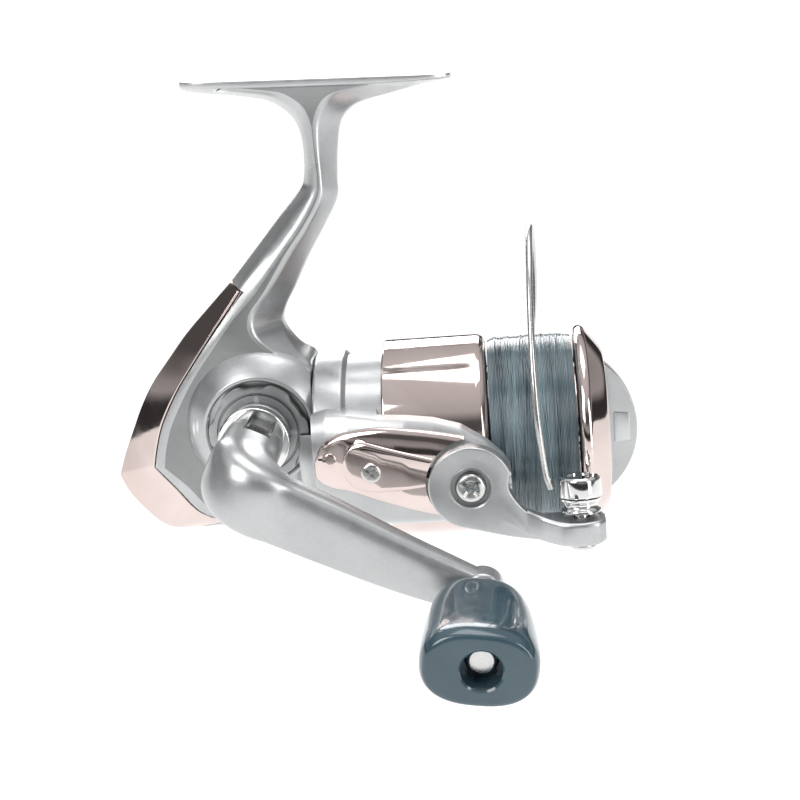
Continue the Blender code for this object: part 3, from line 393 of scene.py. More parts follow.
def arc(centre, radius, start, end, count):
    angles = [math.radians(start + (end - start) * i / (count - 1)) for i in range(count)]
    return [(centre[0] + radius * math.cos(a), centre[1] + radius * math.sin(a)) for a in angles]


def tube(path, radius, sides, closed=False):
    """Round rod along a path, its section carried along without twist."""
    count = len(path)
    rings, side = [], None
    for i, point in enumerate(path):
        before = path[i - 1] if i or closed else point
        after = path[(i + 1) % count] if i < count - 1 or closed else point
        tangent = (after - before).normalized()
        side = tangent.orthogonal() if side is None else side
        side = (side - tangent * side.dot(tangent)).normalized()
        other = tangent.cross(side)
        rings.append([point + (side * math.cos(a) + other * math.sin(a)) * radius
                      for a in (2 * math.pi * k / sides for k in range(sides))])
    return rings


def apply_modifier(made, modifier):
    """Bake the object's one modifier into its mesh."""
    bpy.context.view_layer.update()
    result = bpy.data.meshes.new_from_object(made.evaluated_get(bpy.context.evaluated_depsgraph_get()))
    old, name = made.data, made.data.name
    made.modifiers.remove(modifier)
    made.data = result
    bpy.data.meshes.remove(old)
    result.name = name
    return made


def bevel(made, width, segments=3, angle=32.0):
    modifier = made.modifiers.new("bevel", "BEVEL")
    modifier.width, modifier.segments = width, segments
    modifier.limit_method, modifier.angle_limit = "ANGLE", math.radians(angle)
    return apply_modifier(made, modifier)


def cut(made, cutter, operation="DIFFERENCE"):
    """Apply one exact boolean, close up its slivers and drop the cutter."""
    modifier = made.modifiers.new("cut", "BOOLEAN")
    modifier.operation, modifier.object, modifier.solver = operation, cutter, "EXACT"
    apply_modifier(made, modifier)
    bpy.data.objects.remove(cutter)
    bm = bmesh.new()
    bm.from_mesh(made.data)
    bmesh.ops.remove_doubles(bm, verts=bm.verts, dist=0.003)
    bmesh.ops.dissolve_degenerate(bm, edges=bm.edges, dist=0.003)
    bm.to_mesh(made.data)
    bm.free()
    return made


def drill(made, centre, axis, radius, low, high, steps=48, mouth=None):
    """Round hole along an axis; mouth gives (level, width) of a small countersink."""
    profile = [(low, 0), (low, radius), (high, radius), (high, 0)]
    if mouth:
        level, width = mouth
        profile = [(low, 0), (low, radius), (level - width, radius), (level + 0.05, radius + width + 0.05),
                   (high, radius + width + 0.05), (high, 0)]
    return cut(made, lathe("cutter", profile, STEEL, axis, centre, steps))


def block(low, high):
    outline = [(low[0], low[2]), (high[0], low[2]), (high[0], high[2]), (low[0], high[2])]
    return prism("cutter", outline, low[1], high[1], STEEL)


def place(made, body, slot, *nodes, smooth=32.0):
    mesh = made.data
    mesh.transform(Matrix.Scale(MM, 4) @ SHAFT_TO_PART)
    mesh.shade_smooth()
    mesh.set_sharp_from_angle(angle=math.radians(smooth))
    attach(made, body)
    if nodes:
        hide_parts(*nodes)
    return made


def cross_recess(head, centre, axis, top, size, depth):
    """Phillips recess: two tapered slots cut across a screw head."""
    first = axis.orthogonal().normalized()
    second = axis.cross(first)
    for a, b in ((first, second), (second, first)):
        rings = []
        for level, reach in ((top - depth, size * 0.45), (top + 0.3, size * 1.08)):
            half = size * 0.19
            rings.append([centre + axis * level + a * u + b * w
                          for u, w in ((-reach, -half), (reach, -half), (reach, half), (-reach, half))])
        cut(head, piece("cutter", skin(rings), STEEL))
    return head


def screw(name, centre, axis, bottom, seat, top, shank, head, body, node):
    """Pan-head Phillips screw from bottom to top along axis."""
    rise = top - seat
    profile = [(bottom, 0), (bottom, shank * 0.8), (bottom + 0.3, shank), (seat, shank), (seat, head),
               (seat + rise * 0.45, head * 0.99), (seat + rise * 0.8, head * 0.86), (top - 0.04, head * 0.6),
               (top, 0)]
    rounded = fillet(profile, 0.25, 2)
    made = lathe(name, rounded, STEEL, axis, centre, 48)
    cross_recess(made, centre, axis, top, head * 0.74, min(1.1, rise * 0.9))
    return place(made, body, "steel", node)


# --- frame: housing, covers, bearings --------------------------------------------------
# Stations of the stem and gearbox, from the foot down: back edge, cover edge, start and end
# of the flat, front edge, each as x and z; then the half widths at back, cover edge, flat, front.
STATIONS = [
    (-3.8, 80.4, -2.0, 81.3, -0.7, 81.8, 35.0, 80.6, 40.7, 78.9, 1.0, 5.6, 6.0, 1.0),
    (3.8, 79.0, 6.4, 79.8, 8.9, 80.3, 25.6, 79.4, 34.2, 77.6, 1.0, 5.2, 5.9, 1.0),
    (8.5, 77.6, 10.6, 78.4, 12.1, 79.0, 21.8, 78.2, 28.6, 76.5, 1.0, 4.8, 5.7, 1.0),
    (12.1, 74.7, 13.8, 75.7, 15.0, 76.4, 19.6, 75.8, 25.3, 75.0, 1.0, 4.6, 5.5, 1.0),
    (13.9, 71.2, 15.2, 71.8, 16.3, 72.2, 18.3, 72.2, 22.9, 72.0, 0.9, 4.5, 5.5, 0.9),
    (14.3, 66.3, 15.6, 66.4, 16.6, 66.5, 18.1, 66.4, 21.7, 66.2, 0.9, 4.5, 5.6, 0.9),
    (13.8, 60.9, 15.3, 61.1, 16.7, 61.2, 18.3, 60.7, 21.1, 60.1, 0.9, 4.8, 6.0, 0.9),
    (12.4, 58.0, 14.4, 57.9, 16.0, 57.6, 17.8, 56.7, 20.7, 56.0, 0.9, 5.0, 6.3, 0.9),
    (7.6, 52.8, 10.1, 52.2, 12.2, 51.6, 14.2, 50.8, 17.4, 50.2, 0.9, 5.4, 6.8, 0.9),
    (2.5, 47.1, 5.0, 46.4, 7.2, 45.6, 9.5, 44.8, 13.3, 43.8, 1.1, 5.8, 7.2, 0.9),
    (-4.7, 39.2, -2.4, 38.1, 0.6, 37.2, 4.2, 37.4, 9.6, 37.0, 2.4, 7.3, 8.0, 0.9),
    (-10.3, 33.8, -7.2, 31.8, -4.6, 32.0, 0.4, 32.6, 7.0, 32.6, 2.9, 7.9, 8.5, 1.2),
    (-15.9, 28.3, -11.2, 26.6, -8.4, 27.6, 0.6, 27.8, 6.2, 28.6, 3.2, 8.3, 8.9, 2.0),
    (-20.5, 22.9, -14.9, 21.7, -12.3, 22.8, 5.6, 23.0, 9.0, 23.3, 3.5, 8.4, 9.0, 4.0),
    (-24.9, 17.5, -18.2, 17.2, -15.9, 18.0, 9.9, 18.6, 12.1, 20.0, 3.5, 8.5, 9.0, 7.0),
    (-28.2, 12.2, -21.2, 12.3, -19.0, 13.0, 11.0, 13.4, 12.1, 14.0, 3.5, 8.5, 9.0, 8.6),
    (-30.9, 6.7, -23.4, 7.8, -21.6, 8.2, 11.2, 7.8, 12.1, 7.8, 3.5, 8.5, 9.0, 8.6),
    (-33.6, 0.8, -25.0, 2.8, -23.4, 2.9, 11.2, 2.0, 12.1, 1.8, 3.5, 8.5, 9.0, 8.6),
    (-35.5, -4.2, -25.9, -1.1, -24.2, -1.2, 11.2, -3.6, 12.1, -4.0, 3.5, 8.5, 9.0, 8.6),
    (-32.9, -9.7, -21.5, -6.6, -19.4, -6.0, 11.2, -8.0, 12.1, -9.0, 3.5, 8.4, 9.0, 8.6),
    (-26.0, -17.1, -16.8, -12.5, -14.6, -12.0, 11.0, -12.4, 12.1, -13.8, 3.5, 8.5, 9.0, 8.4),
    (-18.0, -18.0, -11.0, -15.6, -9.0, -15.0, 10.6, -15.4, 12.1, -16.4, 3.2, 7.4, 7.8, 6.8),
    (-9.0, -18.0, -7.4, -17.3, -6.0, -17.0, 9.6, -17.0, 12.1, -17.6, 3.0, 5.4, 5.8, 5.0),
]
COVER_FROM, CREASE, COVER_TO = 10, 18, 21
FLANK_SCREWS = ((-8.6, 22.4), (-17.6, 2.4), (7.6, -9.6))


def dense(stations, crease, per_span):
    """Stations joined by smooth curves that break at the crease."""
    if 0 < crease < len(stations) - 1:
        upper = spline(stations[:crease + 1], per_span)
        return upper[:-1] + spline(stations[crease:], per_span)
    return spline(stations, per_span)


def section(s, round_by=0.9):
    """Rounded ring of the stem or gearbox at one station."""
    points = [(s[0], s[1]), (s[2], s[3]), (s[4], s[5]), (s[6], s[7]), (s[8], s[9])]
    widths = (s[10], s[11], s[12], s[12], s[13])
    near = [vec(x, -w, z) for (x, z), w in zip(points, widths)]
    far = [vec(x, w, z) for (x, z), w in zip(points, widths)]
    return fillet(near + far[::-1], round_by, 3, closed=True)


def cover_band(name, outside, inside, edge_gap, material, per_span=4, round_by=0.0):
    """The wrap-around rear cover, as a band between two offsets of the housing's back."""
    rows = dense(STATIONS[COVER_FROM:COVER_TO + 1], CREASE - COVER_FROM, per_span)
    rings = []
    for index, s in enumerate(rows):
        back, edge = vec(s[0], 0, s[1]), vec(s[2], 0, s[3])
        inward, slope = (edge - back).normalized(), (edge - back).length
        normal_in = vec(s[11] - s[10], slope).normalized()
        slide = Vector()
        if index in (0, len(rows) - 1):
            other = rows[1] if index == 0 else rows[-2]
            slide = vec(s[0] - other[0], 0, s[1] - other[1]).normalized() * edge_gap

        def point(t, offset, side):
            base = back + inward * (slope * t + offset * normal_in[0])
            width = s[10] + (s[11] - s[10]) * t - offset * normal_in[1]
            return base + vec(0, side * max(width, 0.4), 0) + slide

        reach = 1.0 + edge_gap / slope
        ring = [point(t, outside, side) for t, side in ((reach, -1), (0, -1), (0, 1), (reach, 1))]
        ring += [point(t, inside, side) for t, side in ((reach, 1), (0, 1), (0, -1), (reach, -1))]
        rings.append(fillet(ring, round_by, 3, closed=True) if round_by else ring)
    return piece(name, skin(rings), material)


def seat_to_shaft(x, y, z):
    return SEAT_CENTRE + Matrix.Rotation(SHAFT_RISE, 3, "Y") @ vec(x, y, z)


def foot():
    """Foot plate with soft edges and a shallow keel that runs into the stem."""
    plan = [(-29.0, 3.4, 1.2, 1.9), (-28.6, 4.3, 1.2, 2.05), (-27.8, 4.9, 1.2, 2.3), (-25.0, 6.1, 1.3, 2.7),
            (-20.0, 6.5, 1.4, 3.2), (-8.0, 6.5, 1.6, 3.8), (8.0, 6.5, 1.6, 3.6), (20.0, 6.4, 1.4, 2.7),
            (25.0, 5.9, 1.2, 1.9), (27.8, 4.7, 1.1, 1.5), (28.6, 4.1, 1.05, 1.4), (29.0, 3.2, 1.0, 1.3)]
    rings = []
    for x, width, edge, keel in spline(plan, 4):
        outline = [(-width, -0.02), (width, -0.02), (width, -edge), (1.2, -keel), (-1.2, -keel),
                   (-width, -edge)]
        rings.append([seat_to_shaft(x, *p) for p in fillet(outline, 0.42, 3, closed=True)])
    return piece("foot", skin(rings), SILVER)


def cavity():
    """Room for the gears, with a round pocket for the drive gear behind the nose."""
    levels = [(21.0, -19.0, -14.5, 8.2), (17.0, -21.6, -16.6, 10.2), (8.0, -26.4, -20.8, 10.9),
              (-1.0, -30.0, -23.2, 10.9), (-4.2, -31.2, -23.4, 10.9), (-9.0, -28.4, -18.4, 10.9),
              (-14.4, -22.0, -13.0, 10.6)]
    rings = []
    for z, back, side, front in levels:
        near = [vec(back, -3.1, z), vec(side, -6.9, z), vec(front, -6.9, z)]
        rings.append(near + [vec(p.x, -p.y, p.z) for p in reversed(near)])
    pocket = lathe("pocket", [(9.5, 0), (9.5, 14.9), (12.2, 14.9), (12.2, 0)], STEEL, X_AXIS, steps=40)
    return cut(piece("cutter", skin(rings), STEEL), pocket, "UNION")


def gearbox(name):
    """Outer solid of stem and gearbox with its bosses; the flat flanks carry a darker copy of the silver paint,
    which paints shade on them.
    """
    rows = dense(STATIONS, CREASE, 4)
    near_flat, far_flat = 11, 27     # side of the ring that lies between the two flat corners

    def mark(_, side):
        return 1 if side in (near_flat, far_flat) else 0

    blank = piece(name, skin([section(s) for s in rows], mark=mark), SILVER, SHADED_FLANK)
    satin = [(8.0, 17.6), (9.6, 16.6), (11.0, 15.4), (12.6, 13.7), (13.6, 12.5)]
    profile = [(8.0, 0)] + [tuple(p) for p in spline(satin, 3)] + [(13.6, 0)]
    near_boss = lathe("boss", fillet(profile, 0.35, 3), SILVER, -Y_AXIS, CRANK, 96)
    cut(near_boss, block((12.1, -20, -20), (30, 0, 40)))
    cone = [(8.0, 0), (8.0, 11.8), (11.6, 9.8), (12.4, 9.0), (12.4, 0)]
    far_boss = lathe("boss", cone, SILVER, Y_AXIS, CRANK, 72, 0.3)
    cut(blank, near_boss, "UNION")
    cut(blank, far_boss, "UNION")
    collar = [(8.6, 0), (8.6, 15.7), (9.2, 16.3), (12.2, 16.3), (12.2, 0)]
    cut(blank, lathe("collar", collar, SILVER, X_AXIS, steps=96), "UNION")
    return cut(blank, cover_band("cutter", -3.0, 1.2 + 2 * GAP, 1.3 * GAP, STEEL))


def build_frame():
    housing = gearbox("housing_body")
    cut(housing, foot(), "UNION")
    nose = [(11.0, 0), (11.0, 16.3), (13.8, 16.3), (14.2, 15.9), (14.2, 12.3), (24.3, 12.3), (24.3, 0)]
    cut(housing, lathe("nose", nose, SILVER, steps=96, round_by=0.2), "UNION")
    cut(housing, cavity())
    drill(housing, Vector(), X_AXIS, 9.8, 13.9, 30.0)
    drill(housing, Vector(), X_AXIS, 4.2, 10.0, 15.0)
    drill(housing, CRANK, -Y_AXIS, 11.5, 11.6, 15.0, 96, (13.6, 0.45))
    drill(housing, CRANK, -Y_AXIS, 8.0, 9.2, 12.0)
    drill(housing, CRANK, -Y_AXIS, 4.6, 5.0, 10.0)
    cut(housing, block((-40, SPLIT_Y, -30), (12.3, 20, SPLIT_TOP)))
    place(housing, "frame", "silver_paint", "housing", smooth=28.0)

    side = gearbox("side_cover_shell")
    cut(side, cavity())
    drill(side, CRANK, Y_AXIS, 6.2, 8.0, 14.0, 64, (12.4, 0.3))
    drill(side, CRANK, Y_AXIS, 3.6, 5.0, 9.0)
    for x, z in FLANK_SCREWS:
        drill(side, vec(x, 0, z), Y_AXIS, 2.4, 8.0, 10.0, 32)
    cut(side, block((-60, SPLIT_Y + GAP, -40), (12.25, 20, SPLIT_TOP - GAP)), "INTERSECT")
    place(side, "frame", "silver_paint", "side_cover", smooth=28.0)
    for number, (x, z) in enumerate(FLANK_SCREWS, 1):
        screw(f"flank_screw_{number}", vec(x, 0, z), Y_AXIS, 8.3, 8.5, 9.5, 1.9, 2.0, "frame",
              f"side_cover_screw_{number}")

    rear = cover_band("rear_cover_shell", 0.0, 1.2, 0.0, BRONZE, 6, 0.45)
    place(rear, "frame", "bronze_chrome", "rear_cover", smooth=40.0)
    build_retainer()


def build_retainer():
    """Lobed ring that keeps the near bearing in its boss, with a turned groove."""
    steps = 144

    def lobed(level, inset):
        ring = []
        for i in range(steps):
            angle = 2 * math.pi * i / steps
            radius = 10.7 - inset + 0.45 * math.tanh(3 * math.cos(6 * angle))
            ring.append(CRANK + vec(radius * math.cos(angle), -level, -radius * math.sin(angle)))
        return ring

    def plain(level, radius):
        return [CRANK + vec(radius * math.cos(a), -level, -radius * math.sin(a))
                for a in (2 * math.pi * i / steps for i in range(steps))]

    rings = [lobed(13.2, 0.0), lobed(14.1, 0.0), lobed(14.25, 0.06), lobed(14.3, 0.2)]
    rings += [plain(level, radius) for level, radius in (
        (14.3, 9.25), (13.85, 9.15), (13.85, 8.75), (14.3, 8.65), (14.3, 6.9), (14.1, 6.7), (14.1, 5.75),
        (14.0, 5.6), (13.2, 5.6))]
    made = piece("retainer_ring", skin(rings, closed_loop=True), DARK_SILVER)
    place(made, "frame", "dark_silver", "bearing_retainer")


def build_lever():
    """Thumb lever of the anti-reverse, with a ribbed pad."""
    pivot = vec(1.0, 0.0, -18.3)
    outline = arc((0, 0), 3.2, 40, 320, 28) + [(5.0, -1.3), (8.6, -1.6), (9.6, -0.8), (9.6, 0.8), (8.6, 1.6),
                                              (5.0, 1.3)]
    made = prism("thumb_lever", outline, -2.0, 0.0, BLACK, (X_AXIS, Y_AXIS, Z_AXIS, pivot))
    bevel(made, 0.3, 3)
    for x in (6.0, 7.0, 8.0, 9.0):
        rib = block((pivot.x + x - 0.18, -2.2, pivot.z - 2.3), (pivot.x + x + 0.18, 2.2, pivot.z - 1.75))
        cut(made, rib)
    place(made, "anti_reverse_lever", "black_plastic", "anti_reverse_lever")


# --- crank, handle and knob -----------------------------------------------------------------
def build_crank():
    collar = [(14.7, 4.3), (14.7, 7.0), (15.0, 7.2), (16.3, 7.2), (16.45, 7.0), (16.75, 7.0), (16.9, 7.2),
              (19.7, 7.2), (20.0, 7.0), (20.0, 4.3)]
    ring = lathe("crank_collar", collar, SILVER, -Y_AXIS, CRANK, 96, 0.12)
    place(ring, "crank", "silver_paint", "handle_collar")

    flange = [(20.3, 0), (20.3, 7.6), (20.6, 7.9), (21.3, 7.9), (21.6, 7.6), (21.6, 0)]
    hub = lathe("crank_hub", flange, CHROME, -Y_AXIS, CRANK, 96, 0.2)
    outline = [(-21.2, -3.7), (HINGE_Y, -3.7)] + arc((HINGE_Y, 0), 3.7, 255, 105, 24)
    outline += [(HINGE_Y, 3.7), (-21.2, 3.7)]
    tab = prism("tab", outline, -2.7, 2.7, CHROME, (Y_AXIS, ARM_UP, ARM_DIR, CRANK))
    cut(hub, bevel(tab, 0.25, 2), "UNION")
    drill(hub, CRANK + Y_AXIS * HINGE_Y, ARM_DIR, 1.6, -4, 4, 32)
    place(hub, "crank", "chrome", "handle_hub")

    cap = lathe("end_cap", [(13.1, 0), (13.1, 7.2), (13.5, 7.6), (16.6, 7.6), (17.6, 6.6), (17.6, 0)], CHROME,
                Y_AXIS, CRANK, 96, 0.35)
    cut(cap, block((-5.0, 16.6, CRANK.z - 0.8), (5.0, 19.0, CRANK.z + 0.8)))
    for i in range(24):
        angle = 2 * math.pi * i / 24
        spot = CRANK + vec(7.75 * math.cos(angle), 0, 7.75 * math.sin(angle))
        cut(cap, lathe("cutter", [(13.9, 0), (13.9, 0.34), (16.2, 0.34), (16.2, 0)], CHROME, Y_AXIS, spot, 10))
    place(cap, "crank", "chrome", "far_cap")


def arm_section(centre, tangent, wide, thick, count=72, power=3.0):
    """Soft-cornered section of the handle arm, wide along ARM_UP."""
    normal = tangent.cross(ARM_UP).normalized()
    ring = []
    for i in range(count):
        angle = 2 * math.pi * i / count
        c, s = math.cos(angle), math.sin(angle)
        ring.append(centre + ARM_UP * (wide * math.copysign(abs(c) ** (2 / power), c))
                    + normal * (thick * math.copysign(abs(s) ** (2 / power), s)))
    return ring


def build_handle():
    elbow_r, elbow_y, fork_r = 10.0, -38.0, 7.0
    hinge = CRANK + Y_AXIS * HINGE_Y
    rings = [arm_section(hinge + Y_AXIS * lead, -Y_AXIS, math.sqrt(fork_r ** 2 - lead ** 2) * w, 6.4 * w)
             for lead, w in ((6.75, 0.93), (6.6, 0.985), (6.2, 1), (5.6, 1), (4.6, 1), (3.4, 1), (1.8, 1))]
    rings.append(arm_section(CRANK - Y_AXIS * 33.5, -Y_AXIS, 7.1, 6.5))
    corner = CRANK + Y_AXIS * elbow_y + ARM_DIR * elbow_r
    turns = 18
    for step in range(turns + 1):
        blend = step / turns
        angle = math.radians(90 * blend)
        outward = -ARM_DIR * math.cos(angle) - Y_AXIS * math.sin(angle)
        tangent = -Y_AXIS * math.cos(angle) + ARM_DIR * math.sin(angle)
        bulge = math.sin(math.pi * blend)
        point = corner + outward * (elbow_r + 0.9 * bulge) - ARM_UP * (1.4 * blend)
        rings.append(arm_section(point, tangent, 7.1 + 0.6 * bulge, 6.6 - 2.4 * blend + 1.5 * bulge))
    # reach, distance out, half width, half thickness, sag below the crank axis
    taper = spline([(10, 48.0, 7.1, 4.2, 1.4), (22, 48.4, 6.7, 4.0, 1.5), (36, 49.4, 5.9, 3.7, 1.5),
                    (47, 50.0, 5.1, 3.2, 1.1), (52, 50.2, 4.4, 2.8, 0.6)], 6)
    for reach, out, wide, thick, sag in taper[1:]:
        centre = CRANK + ARM_DIR * reach - Y_AXIS * out - ARM_UP * sag
        rings.append(arm_section(centre, ARM_DIR, wide, thick))
    arm = piece("crank_arm", skin(rings), SILVER)
    boss = [(47.6, 0), (47.6, 4.0), (48.0, 4.4), (52.5, 4.4), (53.0, 3.9), (53.0, 0)]
    cut(arm, lathe("boss", boss, SILVER, -Y_AXIS, KNOB_AXIS, 72, 0.3), "UNION")
    slot_outline = [(-20, -9), (-34.0, -9), (-34.0, 9), (-20, 9)]
    cut(arm, prism("slot", slot_outline, -3.0, 3.0, STEEL, (Y_AXIS, ARM_UP, ARM_DIR, CRANK)))
    drill(arm, hinge, ARM_DIR, 1.6, -9, 9, 32)
    place(arm, "handle", "silver_paint", "handle_arm", smooth=38.0)

    pin = [(-6.1, 0), (-6.1, 0.9), (-5.8, 1.3), (5.8, 1.3), (6.1, 0.9), (6.1, 0)]
    place(lathe("fold_pin", pin, STEEL, ARM_DIR, hinge, 32, 0.15), "handle", "steel", "hinge_pin")
    spindle = [(53.3, 0), (53.3, 4.0), (54.6, 4.0), (54.9, 2.8), (81.6, 2.8), (82.2, 2.3), (82.2, 0)]
    place(lathe("spindle", spindle, STEEL, -Y_AXIS, KNOB_AXIS, 64, 0.15), "handle", "steel", "knob_spindle")


def build_knob():
    """Paddle knob that widens to a flat oval end, bored for the spindle."""
    rows = spline([(55.4, 5.4, 4.0), (55.6, 6.0, 4.4), (56.2, 6.9, 5.1), (58.0, 8.2, 5.75), (61.0, 9.2, 6.15),
                   (66.0, 10.0, 6.55), (73.0, 10.6, 6.95), (80.0, 10.95, 7.45), (83.6, 10.85, 7.55),
                   (85.2, 10.4, 7.2), (85.9, 9.9, 6.8), (86.2, 9.2, 6.2)], 4)
    lean = math.radians(8.0)        # the paddle rests turned a little on its spindle
    count = 128
    rings = []
    for out, half_x, half_z in rows:
        ring = []
        for i in range(count):
            angle = 2 * math.pi * i / count
            c, s = math.cos(angle), math.sin(angle)
            across = half_x * math.copysign(abs(c) ** 0.8, c) - 0.4
            up = half_z * math.copysign(abs(s) ** 0.8, s)
            ring.append(KNOB_AXIS + vec(across * math.cos(lean) + up * math.sin(lean), -out,
                                        up * math.cos(lean) - across * math.sin(lean)))
        rings.append(ring)
    for shrink in (0.9, 0.75, 0.62):
        rings.append([KNOB_AXIS + Y_AXIS * -86.2 + (p - KNOB_AXIS + Y_AXIS * 86.2) * shrink for p in rings[-1]])
    knob = piece("knob_grip", skin(rings), KNOB_PLASTIC)
    drill(knob, KNOB_AXIS, -Y_AXIS, 3.2, 50, 90, 64)
    drill(knob, KNOB_AXIS, -Y_AXIS, 3.8, 80.5, 90, 64, (86.2, 0.35))
    place(knob, "knob", "knob_plastic", "knob", smooth=40.0)


# --- rotor and bail --------------------------------------------------------------------------
ARM_STATIONS = [                # x, low z, high z, inner radius, crown distance from the axis
    (12.7, -5.0, 12.0, 19.3, 22.6), (16.0, -7.4, 12.6, 19.3, 23.8), (20.5, -9.8, 12.5, 19.3, 25.0),
    (26.6, -12.3, 11.8, 19.3, 26.2), (27.0, -12.3, 11.7, 23.4, 26.3), (33.0, -12.3, 11.3, 23.4, 27.0),
    (39.0, -12.2, 10.6, 23.4, 27.3), (45.0, -11.8, 9.0, 23.4, 27.4), (50.0, -9.8, 6.0, 23.4, 27.4),
    (53.6, -7.4, 2.6, 23.4, 27.4), (55.2, -5.2, 0.2, 23.4, 27.2),
]


def arm_outer(x, z):
    """Distance of the arm's outer skin from the XZ plane."""
    low, high, _, crown = along(ARM_STATIONS, x)
    middle, half = (low + high) / 2, (high - low) / 2
    across = min(abs(z - middle) / half, 1.0)
    return crown - 2.6 * across ** 2.6


def rotor_arm(side):
    rings = []
    for x in [12.7 + 0.35 * i for i in range(122)]:
        low, high, inner, _ = along(ARM_STATIONS, min(x, 55.2))
        levels = [low + (high - low) * i / 20 for i in range(21)]
        outside = [vec(x, side * arm_outer(x, z), z) for z in levels]
        inside = [vec(x, side * math.sqrt(inner ** 2 - z ** 2), z) for z in reversed(levels[::4])]
        last = len(outside) - 1
        soft = 0.35                  # the outer rims of the arm are eased over this width
        for spot, step in ((0, 1), (last, -1)):
            outside[spot] = outside[spot] + vec(0, -side * soft, step * soft * 0.3)
        rings.append(outside + inside)
        if x >= 55.15:
            break
    return piece("arm_blank", skin(rings), SILVER)


COVER_UPPER = [(12.9, 2.2), (14.5, 6.0), (17.4, 8.3), (20.5, 9.4), (27.0, 10.2), (33.0, 9.8), (39.0, 9.0),
               (45.6, 7.6)]
COVER_LOWER = [(12.9, -0.8), (14.5, -2.2), (17.4, -3.2), (20.5, -3.6), (27.0, -5.8), (33.0, -7.8),
               (39.0, -9.6), (45.6, -10.6)]
CAM_UPPER = [(19.2, 2.4), (20.0, 5.0), (21.4, 6.8), (24.0, 7.5), (28.8, 6.3), (34.0, 4.9), (38.6, 3.6)]
CAM_LOWER = [(19.2, 1.4), (20.4, -1.4), (22.2, -2.9), (25.8, -3.5), (31.2, -3.2), (36.6, -2.6), (38.6, -2.2)]


def plate(name, side, upper, lower, lift, thick, material, count):
    """Trim plate on the arm's outer skin; its rim falls away in a soft edge."""
    top, bottom = spline(upper, 5), spline(lower, 5)
    start, end = upper[0][0], upper[-1][0]
    rings = []
    for i in range(count + 1):
        t = i / count
        x = start + (end - start) * t ** 1.25
        high, low = along(top, x)[0], along(bottom, x)[0]
        outside, inside = [], []
        for k in range(19):
            share = 0.5 - 0.5 * math.cos(math.pi * k / 18)
            z = low + (high - low) * share
            rim = min(z - low, high - z, (x - start) * 1.2)
            ease = 0.55 * thick * (1.0 - min(rim / 0.8, 1.0)) ** 2
            skin_y = arm_outer(x, z) + GAP + lift
            outside.append(vec(x, side * (skin_y + thick - ease), z))
            inside.append(vec(x, side * skin_y, z))
        rings.append(outside + inside[::-1])
    return piece(name, skin(rings), material)


def arm_cover(tag, side):
    made = plate(f"{tag}_trim_plate", side, COVER_UPPER, COVER_LOWER, 0.0, 0.9, BRONZE, 44)
    cam = plate("cam", side, CAM_UPPER, CAM_LOWER, 0.5, 0.83, BRONZE, 30)
    cut(made, cam, "UNION")
    bump_at = vec(16.6, 0, 3.6)
    seat = arm_outer(bump_at.x, bump_at.z) + GAP + 0.5
    dome = [(seat, 0), (seat, 1.7), (seat + 0.7, 1.5), (seat + 0.9, 1.0), (seat + 0.95, 0)]
    bump = lathe("bump", dome, BRONZE, Y_AXIS * side, bump_at, 40, 0.2)
    cut(made, bump, "UNION")
    cut(made, block((14.0, -40, 3.35), (15.9, 40, 3.85)))
    drill(made, BAIL_PIVOT, Y_AXIS * side, BAIL_DISC_R + 0.6, 20, 40, 128)
    hole = vec(25.5, 0, 1.0)
    drill(made, hole, Y_AXIS * side, 1.3, 20, 40, 32)
    place(made, "rotor", "bronze_chrome", f"{tag}_arm_cover", smooth=40.0)
    seat = arm_outer(hole.x, hole.z) + GAP + 0.9
    screw(f"{tag}_trim_screw", hole, Y_AXIS * side, seat - 3.2, seat + 0.45, seat + 1.25, 1.0, 2.2, "rotor",
          f"{tag}_arm_cover_screw")


def build_rotor():
    profile = [(12.5, 18.2), (12.5, 20.3), (13.0, 20.8), (18.9, 20.8), (19.9, 19.8), (45.5, 19.8),
               (46.0, 19.3), (46.0, 18.3),
               (28.0, 18.3), (28.0, 6.6), (32.0, 6.6), (32.0, 3.6), (25.2, 3.6), (25.2, 6.6),
               (25.8, 18.2)]
    rotor = lathe("rotor_shell", profile, SILVER, steps=144, round_by=0.25)
    for side in (-1, 1):
        cut(rotor, rotor_arm(side), "UNION")
        drill(rotor, BAIL_PIVOT, Y_AXIS * side, 2.1, 20, 40)
        near_y, far_y = sorted((side * 24.6, side * 30.0))
        cut(rotor, block((28.0, near_y, -1.0), (39.0, far_y, 1.4)))
        drill(rotor, vec(25.5, 0, 1.0), Y_AXIS * side, 1.3, 20, 40, 24)
        arm_cover("near" if side < 0 else "far", side)
    place(rotor, "rotor", "silver_paint", "rotor", smooth=35.0)


